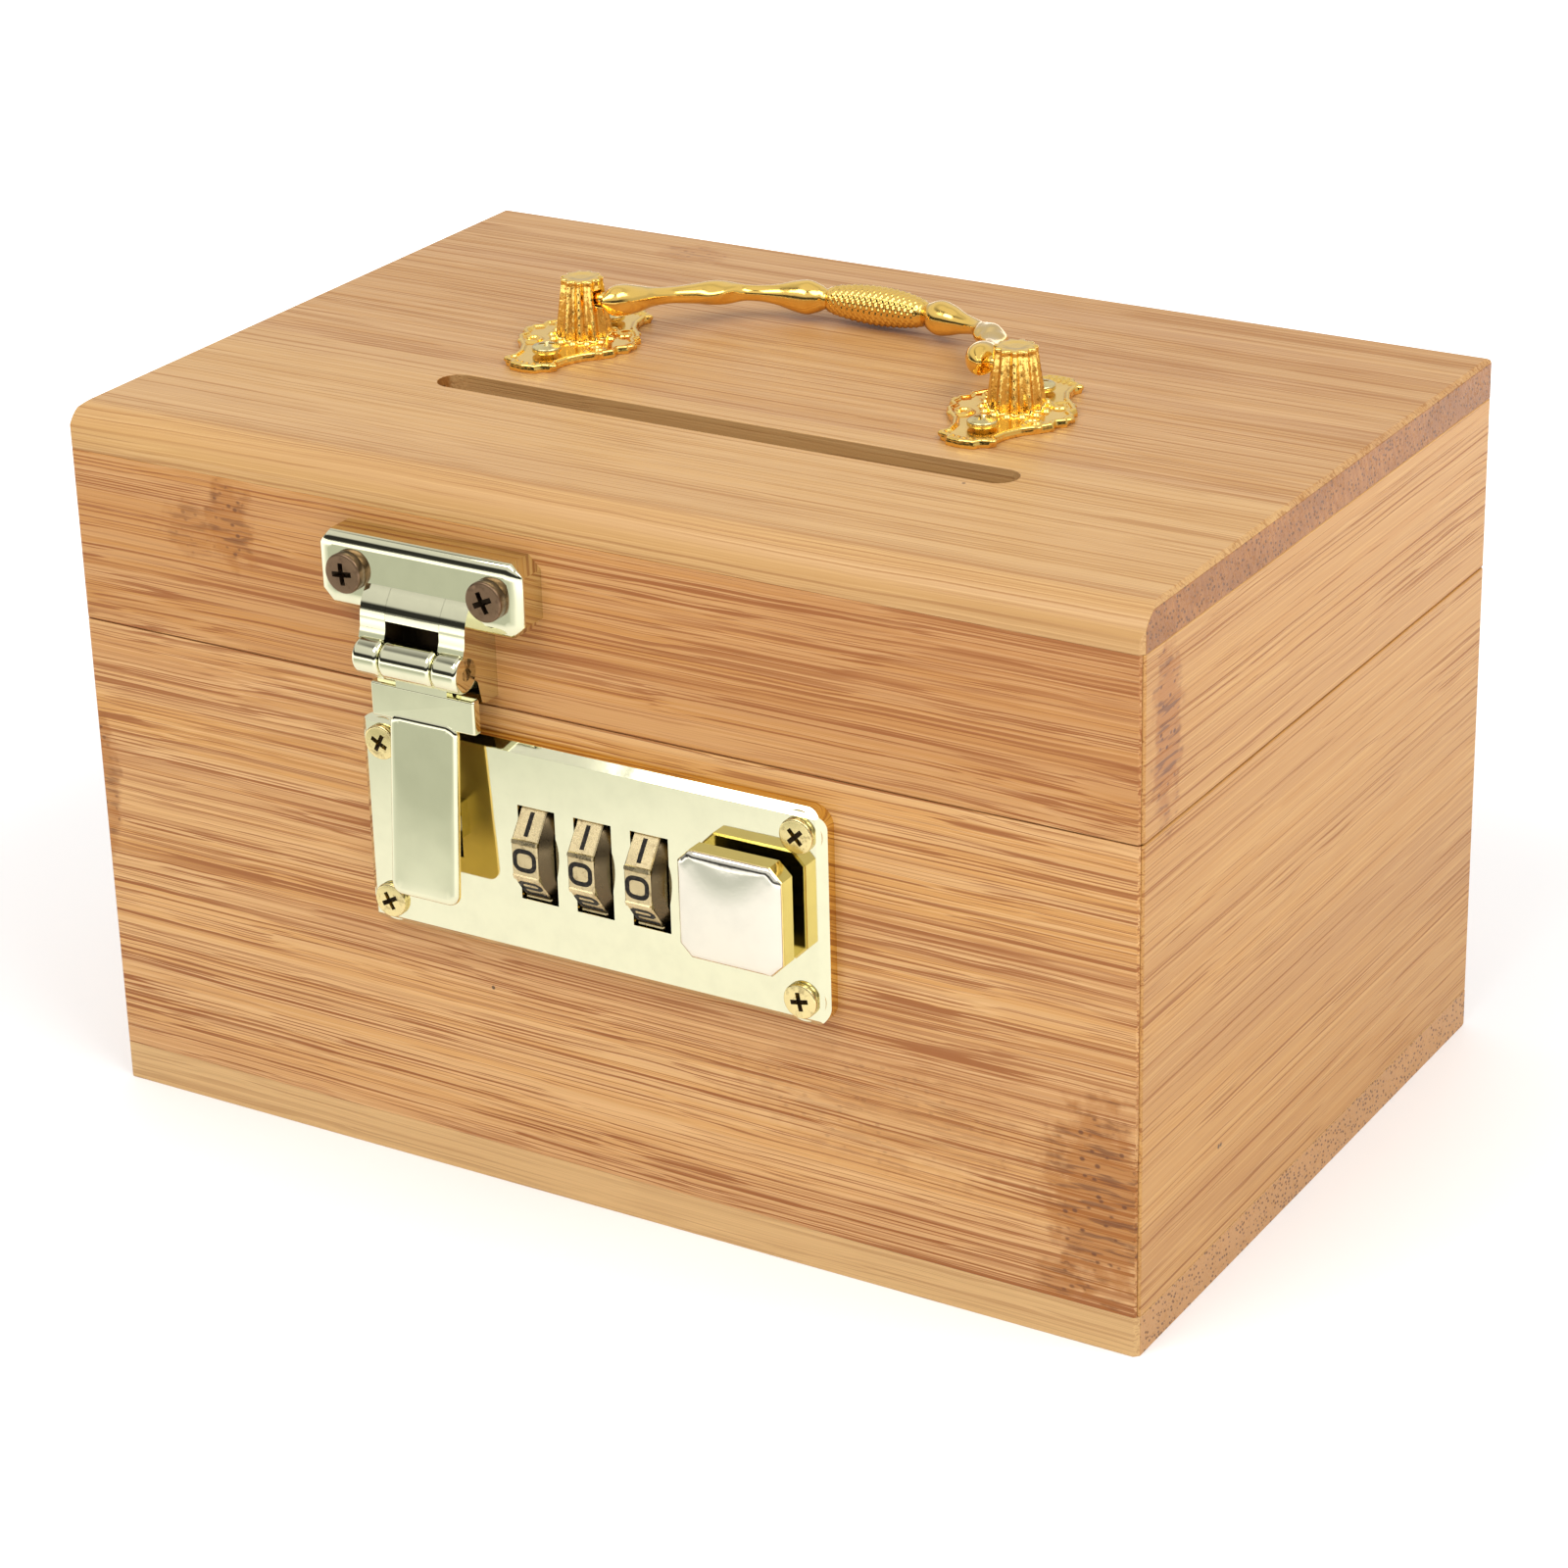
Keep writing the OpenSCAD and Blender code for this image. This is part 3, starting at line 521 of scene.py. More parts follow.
def bamboo(name, along, ground, ochre, rosy, deep, pale, line_pitch=1.0, lines=(0.53, 0.60),
           thin_lines=(0.54, 0.62), strength=0.8, pale_share=0.5, zones=(), knots=(),
           specks=(), end_grain=False, warp=0.6):
    """Lacquered bamboo with its grain along X or Y.

    ground, ochre and rosy are the tones of its broad bands, deep is the colour of its lines
    and pale that of its light fibres. lines and thin_lines are the noise levels at which
    lines start and are full. zones are (axis, low, high, tint, share of the tint, share of
    the lines), knots (along, across, half length, half height, darkness), and specks
    (along, across, radius), in mm. Only a flat board, the one with end grain, has Y across.
    """
    g = Graph(name)
    warp_place(g, along, warp)
    a = g.x if along == "X" else g.y
    across = g.y if end_grain else g.z
    fibre = 1 / line_pitch

    def streaks(per_mm, across_per_mm, start=0.0, detail=1.0, roughness=0.5):
        return g.noise(grain(g, along, per_mm, across_per_mm, start), detail, roughness)

    broad = streaks(0.004, 0.06, 3, 2.0)
    tone = streaks(0.003, 0.35, 7, 2.0, 0.6)
    crowd = g.times(g.add(streaks(0.004, 0.13, 17), -0.5), 0.16)
    main = g.add(streaks(0.0022, 1.55 * fibre, 0.0, 1.0, 0.6), crowd)
    thin = g.add(streaks(0.0035, 3.1 * fibre, 11, 1.0, 0.6), crowd)
    light = streaks(0.003, 2.7 * fibre, 23, 1.0, 0.6)
    fade = streaks(0.014, 0.9 * fibre, 31)
    hair = streaks(0.03, 6.0, 41)
    colour = g.blend(g.step(tone, 0.44, 0.58), ground, ochre)
    colour = g.blend(g.step(broad, 0.45, 0.65, 0.0, 0.8), colour, rosy)
    colour = g.blend(g.step(light, 0.50, 0.64, 0.0, pale_share), colour, pale)
    line = g.math("MAXIMUM", g.step(main, *lines), g.step(thin, *thin_lines, 0.0, 0.85))
    line = g.times(line, g.step(fade, 0.30, 0.58, 0.3, 1.0))
    thinned = strength
    for axis, low, high, tint, share, line_share in zones:
        place = g.y if axis == "Y" else g.z
        inside = g.times(g.step(place, low - 0.15, low + 0.15),
                         g.step(place, high + 0.15, high - 0.15))
        colour = g.blend(g.times(inside, share), colour, tint)
        thinned = g.times(g.add(1.0, g.times(inside, line_share - 1.0)), thinned)
    colour = g.blend(g.times(line, thinned), colour, deep)
    colour = g.blend(g.step(hair, 0.35, 0.75, 0.0, 0.16), colour, deep)
    rough = g.step(line, 0.0, 1.0, 0.36, 0.5)
    relief = g.add(g.times(line, -0.7), g.times(hair, 0.3))
    for *place, dark in knots:
        share = knot_share(g, a, across, place)
        dash = g.times(g.step(streaks(0.13, 1.2, 0.0, 2.0, 0.6), 0.50, 0.62), share)
        pore = g.spots(grain(g, along, 0.45, 0.62, 5), 0.9)
        pore = g.times(g.step(pore, 0.30, 0.12), g.step(share, 0.5, 0.9))
        dash = g.math("MAXIMUM", g.times(dash, 0.75), pore)
        stain = g.step(share, 0.0, 1.0, 0.0, 0.7 * dark)
        colour = g.blend(stain, colour, (0.37, 0.125, 0.014))
        colour = g.blend(g.times(dash, dark), colour, (0.15, 0.05, 0.015))
        relief = g.add(relief, g.times(dash, -1.2))
    for *place, radius in specks:
        far = ellipse(g, a, across, (*place, radius, radius))
        colour = g.blend(g.step(far, 1.3, 0.6, 0.0, 0.85), colour, (0.05, 0.02, 0.01))
    if end_grain:
        colour, relief = add_end_grain(g, colour, relief)
    g.shade(Base_Color=colour, Roughness=rough, Specular_IOR_Level=0.35)
    g.bump(relief, 0.035)
    return g.material


def add_end_grain(g, colour, relief):
    """Rows of dark dots where the grain is cut across, on the faces that look along X."""
    normal_x = g.split(g.new("TexCoord", output="Normal"))[0]
    face = g.step(g.math("ABSOLUTE", normal_x), 0.75, 0.92)
    slant = g.add(g.y, g.times(g.z, 0.45))
    cells = g.joined(0.0, g.times(slant, 1.05), g.times(g.z, 1.25))
    spot = g.step(g.spots(cells, 0.75), 0.42, 0.25)
    fibre = g.noise(g.joined(0.0, g.times(slant, 1.0), g.times(g.z, 0.35)), detail=2.0)
    tone = g.noise(g.joined(0.0, g.times(g.y, 0.06), g.times(g.z, 0.12)), detail=2.0)
    ground = g.blend(g.step(fibre, 0.3, 0.7), (0.41, 0.165, 0.035), (0.32, 0.118, 0.022))
    ground = g.blend(g.step(tone, 0.35, 0.7, 0.0, 0.5), ground, (0.23, 0.082, 0.016))
    ground = g.blend(g.step(g.z, 30, 10, 0.0, 0.6), ground, (0.66, 0.36, 0.135))
    ground = g.blend(g.times(spot, 0.85), ground, (0.14, 0.05, 0.010))
    return g.blend(face, colour, ground), g.add(relief, g.times(g.times(spot, face), -0.6))


def plating(name, colour, roughness, cloud=0.02, wave=0.0, dirt=None, dirt_share=0.0,
            grain_mm=0.0, metal=1.0):
    """Polished metal plating. cloud varies its gloss, and wave is the depth of its ripples."""
    g = Graph(name)
    smudge = g.noise(g.place, detail=3.0, roughness=0.6, scale=0.22)
    speck = g.noise(g.place, detail=2.0, scale=3.0)
    tint = tuple(0.86 * c for c in colour)
    base = g.blend(g.step(smudge, 0.35, 0.75, 0.0, 0.35), colour, tint)
    rough = g.step(g.add(g.times(smudge, 0.7), g.times(speck, 0.3)), 0.3, 0.7,
                   max(roughness - cloud, 0.0), roughness + cloud)
    if dirt:
        patch = g.step(g.noise(g.place, detail=4.0, roughness=0.65, scale=0.8), 0.5, 0.7)
        base = g.blend(g.times(patch, dirt_share), base, dirt)
        rough = g.add(rough, g.times(patch, 0.15))
    g.shade(Base_Color=base, Metallic=metal, Roughness=rough)
    if wave:
        ripple = g.noise(g.place, detail=1.0, scale=0.12)
        if grain_mm:
            ripple = g.add(ripple, g.times(g.noise(g.place, detail=3.0, scale=1 / grain_mm),
                                           0.25))
        g.bump(ripple, wave)
    return g.material


front_wood = bamboo(
    "bamboo_front", "X", (0.67, 0.375, 0.145), (0.62, 0.31, 0.09), (0.54, 0.265, 0.095),
    (0.32, 0.105, 0.022), (0.78, 0.48, 0.22), strength=0.95, line_pitch=0.85,
    zones=[("Z", 87.5, 118, (0.38, 0.13, 0.018), 0.36, 1.05),
           ("Z", 7, 40, (0.76, 0.45, 0.19), 0.25, 1.1)],
    knots=[(-67, 110, 6, 9, 0.8), (-76, 108, 6, 6, 0.5), (93, 26, 11, 21, 0.9),
           (86, 10, 5, 5, 0.7), (-99, 58, 4, 17, 0.7), (55, 32, 34, 12, 0.22)],
    specks=[(-19.3, 36.4, 0.35)])
side_wood = bamboo(
    "bamboo_side", "Y", (0.555, 0.28, 0.075), (0.535, 0.255, 0.058), (0.49, 0.235, 0.062),
    (0.31, 0.105, 0.018), (0.70, 0.41, 0.14), lines=(0.58, 0.64), thin_lines=(0.60, 0.68),
    strength=0.85, knots=[(-57, 103, 6, 18, 1.0)], warp=0.3, pale_share=0.4,
    specks=[(-37, 24, 0.4), (-36.2, 24, 0.35)])
top_wood = bamboo(
    "bamboo_top", "X", (0.535, 0.298, 0.114), (0.505, 0.26, 0.08), (0.46, 0.237, 0.092),
    (0.32, 0.13, 0.033), (0.64, 0.385, 0.165), lines=(0.53, 0.61), thin_lines=(0.55, 0.65),
    strength=0.7, end_grain=True, pale_share=0.6,
    zones=[("Y", -70, -15, (0.65, 0.405, 0.16), 0.4, 0.8),
           ("Z", -1, 7.2, (0.74, 0.48, 0.21), 0.6, 0.7)],
    knots=[(-52, 55, 9, 6, 0.35)], specks=[(50.7, -29.3, 0.3)])

pale_gold = plating("pale_gold_plating", (0.75, 0.73, 0.505), 0.06, wave=0.03)
# A warmer gold for side faces: a painted reflection of the wood near them, on the same plating
# as the fronts.
reflection_edge_gold = plating("edge_gold_painted_reflection", (0.86, 0.68, 0.26), 0.10, wave=0.03)
# Rough and half metallic, and coloured warm gold as a painted reflection of the wood, for the
# strap's back.
reflection_back_gold = plating("rough_gold_painted_reflection", (0.90, 0.62, 0.16), 0.35, wave=0.02, metal=0.55)
rich_gold = plating("rich_gold_plating", (0.95, 0.62, 0.155), 0.13, cloud=0.04, wave=0.03,
                    grain_mm=0.7)
post_gold = plating("post_gold_plating", (0.93, 0.62, 0.16), 0.10, cloud=0.04, wave=0.08,
                    dirt=(0.30, 0.13, 0.012), dirt_share=0.85, grain_mm=0.9)
screw_gold = plating("screw_plating", (0.78, 0.64, 0.30), 0.22, cloud=0.06,
                     dirt=(0.20, 0.13, 0.05), dirt_share=0.5, wave=0.02, grain_mm=0.5)
bronze = plating("bronze_plating", (0.19, 0.12, 0.07), 0.34, cloud=0.08,
                 dirt=(0.10, 0.06, 0.035), dirt_share=0.6, wave=0.02, grain_mm=0.5)
dial_flank = plating("dial_flank", (0.13, 0.095, 0.05), 0.3, cloud=0.08, wave=0.03,
                     grain_mm=0.6)
# Near black: painted shade for the inside of the screws' cross recesses and for the hasp's
# notch.
recess = plating("recess_painted_shade", (0.030, 0.020, 0.012), 0.5, cloud=0.05)
antique_brass = plating("antique_brass", (0.60, 0.485, 0.27), 0.28, cloud=0.08,
                        dirt=(0.22, 0.15, 0.075), dirt_share=0.5, wave=0.03, grain_mm=0.6)
champagne = plating("champagne_plating", (0.78, 0.735, 0.615), 0.15, cloud=0.03, wave=0.03,
                    grain_mm=0.6)
steel = plating("zinc_plated_steel", (0.55, 0.56, 0.58), 0.3, cloud=0.06,
                dirt=(0.35, 0.35, 0.36), dirt_share=0.4)


def dark_paint():
    g = Graph("black_figures")
    worn = g.noise(g.place, detail=3.0, scale=2.0)
    g.shade(Base_Color=g.blend(g.step(worn, 0.45, 0.8), (0.012, 0.010, 0.008),
                               (0.06, 0.045, 0.03)), Roughness=0.5,
            Specular_IOR_Level=0.15)
    return g.material


figure_black = dark_paint()


# ---------------------------------------------------------------- wood

def boards():
    for node in ("lid_top_board", "base_bottom_board"):
        from_cad(node, top_wood, 0.35)
    for node in ("lid_front_rail", "lid_back_rail", "base_front_wall", "base_back_wall"):
        from_cad(node, front_wood, 0.3)
    for node in ("lid_left_rail", "lid_right_rail", "base_left_wall", "base_right_wall"):
        from_cad(node, side_wood, 0.3)


# ---------------------------------------------------------------- screws

def cross_cutter(radius, head_top, depth):
    """A tapered cross, as a screwdriver's tip leaves in a screw head."""
    arms = []
    for turn in (0, 1):
        reach, half = radius * 0.64, radius * 0.15
        outline = [(-reach, -half), (reach, -half), (reach, half), (-reach, half)]
        low = [(x * 0.45, y * 0.6, head_top - depth) for x, y in outline]
        high = [(x, y, head_top + 0.3) for x, y in outline]
        arm = closed("arm", low + high, 4, steel, smooth=False)
        arms.append(placed(arm, turned(turn * QUARTER, "Z")))
    return arms


def screw(radius, height, crown, material):
    """A screw head that stands on z = 0, with a cross recess. Its shank isn't seen."""
    rim = min(0.35, height * 0.4)
    outline = [(0, -0.6), (radius * 0.45, -0.6), (radius * 0.45, 0), (radius * 0.97, 0),
               (radius, rim * 0.4), (radius, height - crown - rim)]
    for k in range(1, 5):
        a = QUARTER * k / 4
        outline.append((radius - rim * (1 - math.cos(a)),
                        height - crown - rim + rim * math.sin(a)))
    edge = radius - rim
    for k in range(1, 7):
        share = k / 6
        outline.append((edge * (1 - share), height - crown * (1 - share) ** 2))
    head = lathe("screw", outline, 48, material)
    carve(head, *cross_cutter(radius, height, min(1.3, height * 0.85)))
    shade_smooth(head)
    # The faces inside the cross recess get the near-black painted shade.
    head.data.materials.append(recess)
    for face in head.data.polygons:
        centre = face.center / MM
        if 0 < centre.z < height - crown - 0.12 and centre.xy.length < radius * 0.66:
            face.material_index = 1
    head.data.set_sharp_from_angle(angle=math.radians(38))
    return head


def screw_group(name, node, pattern, places):
    """Copies of one screw at each of the places, as one piece that stands for the node."""
    copies = []
    for matrix in places:
        copies.append(placed(add_object(name, pattern.data.copy()), matrix))
    bpy.data.objects.remove(pattern)
    return stand_for(join(name, copies), node)


def solid_boxes(node):
    """The lowest and highest corners of each separate solid in a CAD node, in millimetres."""
    bm = bmesh.new()
    bm.from_mesh(frame["nodes"][node].data)
    bmesh.ops.remove_doubles(bm, verts=bm.verts, dist=SAME_POINT)
    seen = set()
    boxes = []
    for start in bm.verts:
        if start in seen:
            continue
        group = [start]
        seen.add(start)
        for vert in group:
            others = [edge.other_vert(vert) for edge in vert.link_edges]
            group += [other for other in others if other not in seen]
            seen.update(others)
        boxes.append([Vector([side(vert.co[k] for vert in group) for k in range(3)]) / MM
                      for side in (min, max)])
    bm.free()
    return sorted(boxes, key=lambda b: (round(b[0].x), round(b[0].z), round(b[0].y)))


def screws():
    """The heads, each turned a little differently, on what their screws hold."""
    turns = (0.5, 1.1, 0.2, 0.75)
    hasp_out = FRONT - min(low.y for low, high in solid_boxes("hasp_plate_screws"))
    hinge_head = (2.2, 0.7, 0.25, rich_gold)
    for name, node, head, side, out, angles in (
            ("lock_screw_heads", "lock_plate_screws", (3, 1.1, 0.15, screw_gold),
             on_front, PLATE_T, turns),
            ("hasp_screw_heads", "hasp_plate_screws", (3.4, 2.0, 0.25, bronze),
             on_front, hasp_out - 2.0, (0.1, 0.45)),
            ("rosette_screw_heads", "handle_post_screws", (2.5, 1.4, 0.4, screw_gold),
             on_lid, ROSETTE_T, turns),
            ("hinge_base_screws_heads", "hinge_base_screws", hinge_head, on_back, 1.2, turns),
            ("hinge_lid_screws_heads", "hinge_lid_screws", hinge_head, on_back, 1.2, turns)):
        places = []
        for (low, high), angle in zip(solid_boxes(node), angles):
            x, y, z = (low + high) / 2
            places.append(side(x, y if side is on_lid else z, out) @ turned(angle, "Z"))
        screw_group(name, node, screw(*head), places)


# ---------------------------------------------------------------- lock

# A dial's radius, and its panels' share of it and half width in degrees
DIAL_R = 10.35
PANEL_SHARE = 0.975
PANEL_HALF = 15.2
# A figure's width and height between the middles of its lines
FIGURE_W = 3.7
FIGURE_H = 3.3


def dial_panel_outline(radius):
    """A ten-sided wheel whose flat panels are divided by raised ridges."""
    points = []
    for k in range(10):
        middle = TURN * k / 10
        for angle, r in ((-PANEL_HALF, PANEL_SHARE), (PANEL_HALF, PANEL_SHARE), (16.0, 1.0),
                         (20.0, 1.0)):
            a = middle + math.radians(angle)
            points.append((radius * r * math.cos(a), radius * r * math.sin(a)))
    return points


def box_loop(corner):
    """The middle line of a rounded box figure, 1 wide and 1 high, as a closed path."""
    path = round_outline(1, 1, corner, steps=5)
    return path + [path[0]]


def figure_paths(number):
    """The strokes of a figure 1 wide and 1 high about its centre."""
    l, r, t, b = -0.5, 0.5, 0.5, -0.5
    c = 0.16
    return [
        [box_loop(0.34)],
        [[(0, t), (0, b)]],
        [[(l, t - c), (l + c, t), (r - c, t), (r, t - c), (r, 0.1), (l, b + c * 0.5), (l, b),
          (r, b)]],
        [[(l, t), (r - c, t), (r, t - c), (r, c), (r - c, 0), (-0.1, 0)],
         [(r - c, 0), (r, -c), (r, b + c), (r - c, b), (l, b)]],
        [[(0.2, b), (0.2, t), (l, -0.15), (r, -0.15)]],
        [[(r, t), (l, t), (l, 0.05), (r - c, 0.05), (r, -c * 0.6), (r, b + c), (r - c, b),
          (l, b)]],
        [[(r, t), (l + c, t), (l, t - c), (l, b + c), (l + c, b), (r - c, b), (r, b + c),
          (r, -c), (r - c, 0.02), (l, 0.02)]],
        [[(l, t), (r, t), (-0.05, b)]],
        [box_loop(0.3), [(l, 0), (r, 0)]],
        [[(r, 0), (l + c, 0), (l, c), (l, t - c), (l + c, t), (r - c, t), (r, t - c),
          (r, b + c), (r - c, b), (l, b)]],
    ][number]


def stroke(path, width, thickness, material):
    """A flat raised line along a path of points, drawn in the plane z = 0."""
    path = [Vector(p) for p in path]
    is_loop = (path[0] - path[-1]).length < 1e-6
    if is_loop:
        path.pop()
    last = len(path) - 1
    points = []
    for k, p in enumerate(path):
        before = path[k - 1] if is_loop or k > 0 else 2 * p - path[1]
        after = path[(k + 1) % len(path)] if is_loop or k < last else 2 * p - path[k - 1]
        one = (p - before).normalized()
        middle = (one + (after - p).normalized()).normalized()
        side = Vector((-middle.y, middle.x))
        side *= width / 2 / max(side.dot(Vector((-one.y, one.x))), 0.5)
        if not is_loop and k in (0, last):
            p = p + middle * width / 2 * (1 if k else -1)
        left, right = p + side, p - side
        points += [(*left, 0), (*right, 0), (*right, thickness), (*left, thickness)]
    if is_loop:
        faces = walls(len(path) + 1, 4)
        return welded(new_piece("stroke", points + points[:4], faces, material, smooth=False))
    return closed("stroke", points, 4, material, smooth=False)


def dial(index):
    """A number wheel: the zero faces out at rest, the one is above it and the nine below."""
    node = f"number_dial_{index}"
    low, high = corners(node)
    band = 5.0
    width = high.x - low.x
    wheel = stack("wheel", dial_panel_outline(DIAL_R),
                  [(0.25, 0), (0, 0.25), (0, band - 0.2), (0.2, band)], antique_brass)
    shade_smooth(wheel, False)
    flank = lathe("flank", [(0, band), (9.5, band), (8.4, width - 0.25), (8.1, width),
                            (3.2, width), (0, width)], 60, dial_flank)
    flank.data.set_sharp_from_angle(angle=math.radians(30))
    pieces = [wheel, flank]
    panel = DIAL_R * PANEL_SHARE * math.cos(math.radians(PANEL_HALF)) - 0.02
    for number in range(10):
        to_panel = (turned(TURN * number / 10, "Z") @ shift(panel, 0, band / 2)
                    @ turned(QUARTER, "Y"))
        for path in figure_paths(number):
            outline = [(x * FIGURE_W, y * FIGURE_H) for x, y in path]
            pieces.append(placed(stroke(outline, 0.8, 0.05, figure_black), to_panel))
    wheel = join(f"number_wheel_{index}", pieces)
    axis = Matrix(((0, 0, 1, 0), (-1, 0, 0, 0), (0, 1, 0, 0), (0, 0, 0, 1)))
    centre = (low + high) / 2
    placed(wheel, shift(low.x, centre.y, centre.z) @ axis)
    return stand_for(wheel, node)


def lock():
    """The face plate with its rounded rim, the dials, the button and the parts inside."""

    def near_rim(place, edge=1.7):
        inside = (PLATE_LOW.x + edge < place.x < PLATE_HIGH.x - edge
                  and PLATE_LOW.z + edge < place.z < PLATE_HIGH.z - edge)
        return 0.2 if inside else 1.0

    plate = from_cad("lock_plate", pale_gold, 0.8, segments=5, angle=25, share=near_rim)
    plate.data.materials.append(reflection_edge_gold)
    # The rim's side faces take the warmer gold, a painted reflection of the wood beside the
    # plate.
    for face in plate.data.polygons:
        if abs(face.normal.y) < 0.72:
            face.material_index = 1
    for index in (1, 2, 3):
        dial(index)
    button()
    for node in ("lock_case", "lock_case_screws", "code_sleeve_1", "code_sleeve_2",
                 "code_sleeve_3", "dial_spindle", "detent_spring", "latch_slide",
                 "button_rivet", "return_spring"):
        mesh = frame["nodes"][node].data
        mesh.materials.clear()
        mesh.materials.append(steel)


def button():
    """The slider's button: a block with cut corners and a slightly domed front."""
    low, high = corners("slider_button")
    width, height = high.x - low.x, high.z - low.z
    outline = cut_outline(width, height, 2.2)
    back = 5.0
    front = FRONT - low.y
    # The block's sides and the stem are in the warmer gold, a painted reflection of the wood
    # and plate around them; the domed front is champagne.
    block = stack("button_block", outline,
                  [(0.3, back), (0, back + 0.3), (0, front - 1.7), (0.08, front - 1.55)],
                  reflection_edge_gold)
    cap = stack("button_cap", dense(outline, 1.2),
                [(0.08, front - 1.6), (0.08, front - 1.5), (0.25, front - 1.25),
                 (0.6, front - 1.0), (1.1, front - 0.8)], champagne, dome=0.8)
    stem = stack("stem", cut_outline(6, 7, 0.4), [(0, 1.8), (0, back + 1)], reflection_edge_gold)
    piece = join("slider_button_block", [polish(block, 24), polish(cap, 40), stem])
    placed(piece, on_front((low.x + high.x) / 2, (low.z + high.z) / 2))
    return stand_for(piece, "slider_button")


# ---------------------------------------------------------------- hasp

def side_view(name, outline, x0, x1, material):
    """A solid with one side view, of points (out from the front face, height)."""
    points = [(x, FRONT - out, z) for x in (x0, x1) for out, z in outline]
    return closed(name, points, len(outline), material)


def knuckle(x0, x1, material):
    """One knuckle of the hasp's barrel, with rounded ends."""
    width = x1 - x0
    rounding = [(0.7, 0), (0.35, 0.1), (0.1, 0.35), (0, 0.8)]
    outline = ([(0, 0)] + [(BARREL_R - less, along) for less, along in rounding]
               + [(BARREL_R - less, width - along) for less, along in rounding[::-1]]
               + [(0, width)])
    piece = lathe("knuckle", outline, 64, material)
    return placed(piece, shift(x0, FRONT - BARREL_OUT, BARREL_Z) @ turned(QUARTER, "Y"))


HASP_LOW, HASP_HIGH = corners("hasp_hinge_plate")
STRAP_LOW, STRAP_HIGH = corners("hasp_strap")
PIN_LOW, PIN_HIGH = corners("hasp_hinge_pin")
HASP_X = (HASP_LOW.x + HASP_HIGH.x) / 2
HEAD_HALF = (PIN_HIGH.x - PIN_LOW.x) / 2
BARREL_OUT = FRONT - (PIN_LOW.y + PIN_HIGH.y) / 2
BARREL_Z = (PIN_LOW.z + PIN_HIGH.z) / 2
BARREL_R = STRAP_HIGH.z - BARREL_Z
STRAP_BACK = FRONT - STRAP_HIGH.y
# Half the width of the strap's knuckle, and of the notch for it
KNUCKLE_HALF = 5.0
NOTCH_HALF = 5.2
# The front of the neck, from the bar down to the barrel
NECK = [(5.9, 108.2), (6.0, 107.5), (6.5, 106.9), (7.2, 106.0), (7.75, 105.0), (8.1, 103.9),
        (8.3, 102.6)]


def hasp():
    """The hasp: a bar with a folded neck, two knuckles, and a strap with a raised tongue."""
    bar_h = 12.6
    top = HASP_HIGH.z
    width = HASP_HIGH.x - HASP_LOW.x
    rounding = [(0.0, 0.0), (0.0, 4.7), (0.1, 5.05), (0.3, 5.32), (0.65, 5.55), (1.1, 5.74),
                (1.6, 5.88), (2.1, 5.97), (2.5, 6.0)]
    bar = polish(placed(stack("bar", cut_outline(width, bar_h, 2.2), rounding, pale_gold),
                        on_front(HASP_X, top - bar_h / 2)), 40)
    foot = HASP_LOW.z
    cheek = ([(0.0, 107.0)] + NECK + [(8.4, 101.0), (9.0, 99.4), (8.3, 96.3), (5.4, 94.0),
                                      (4.4, foot), (0.0, foot)])
    bridge = [(0.0, 107.0)] + NECK + [(7.9, 102.3), (0.0, 102.3)]
    pieces = [bar]
    for side in (-1, 1):
        x0, x1 = sorted((HASP_X + side * NOTCH_HALF, HASP_X + side * HEAD_HALF))
        pieces.append(polish(side_view("cheek", cheek, x0, x1, pale_gold), 40))
        pieces.append(polish(knuckle(x0, x1, pale_gold), 50))
    pieces.append(polish(side_view("bridge", bridge, HASP_X - NOTCH_HALF - 0.1,
                                   HASP_X + NOTCH_HALF + 0.1, pale_gold), 40))
    # A near-black sheet in the notch behind the strap's knuckle: painted shade.
    web = [(0.0, 102.4), (3.9, 102.4), (3.9, foot), (0.0, foot)]
    pieces.append(side_view("web", web, HASP_X - NOTCH_HALF, HASP_X + NOTCH_HALF, recess))
    stand_for(join("hasp_plate_body", pieces), "hasp_hinge_plate")
    strap()
    from_cad("hasp_hinge_pin", pale_gold, 0.1)


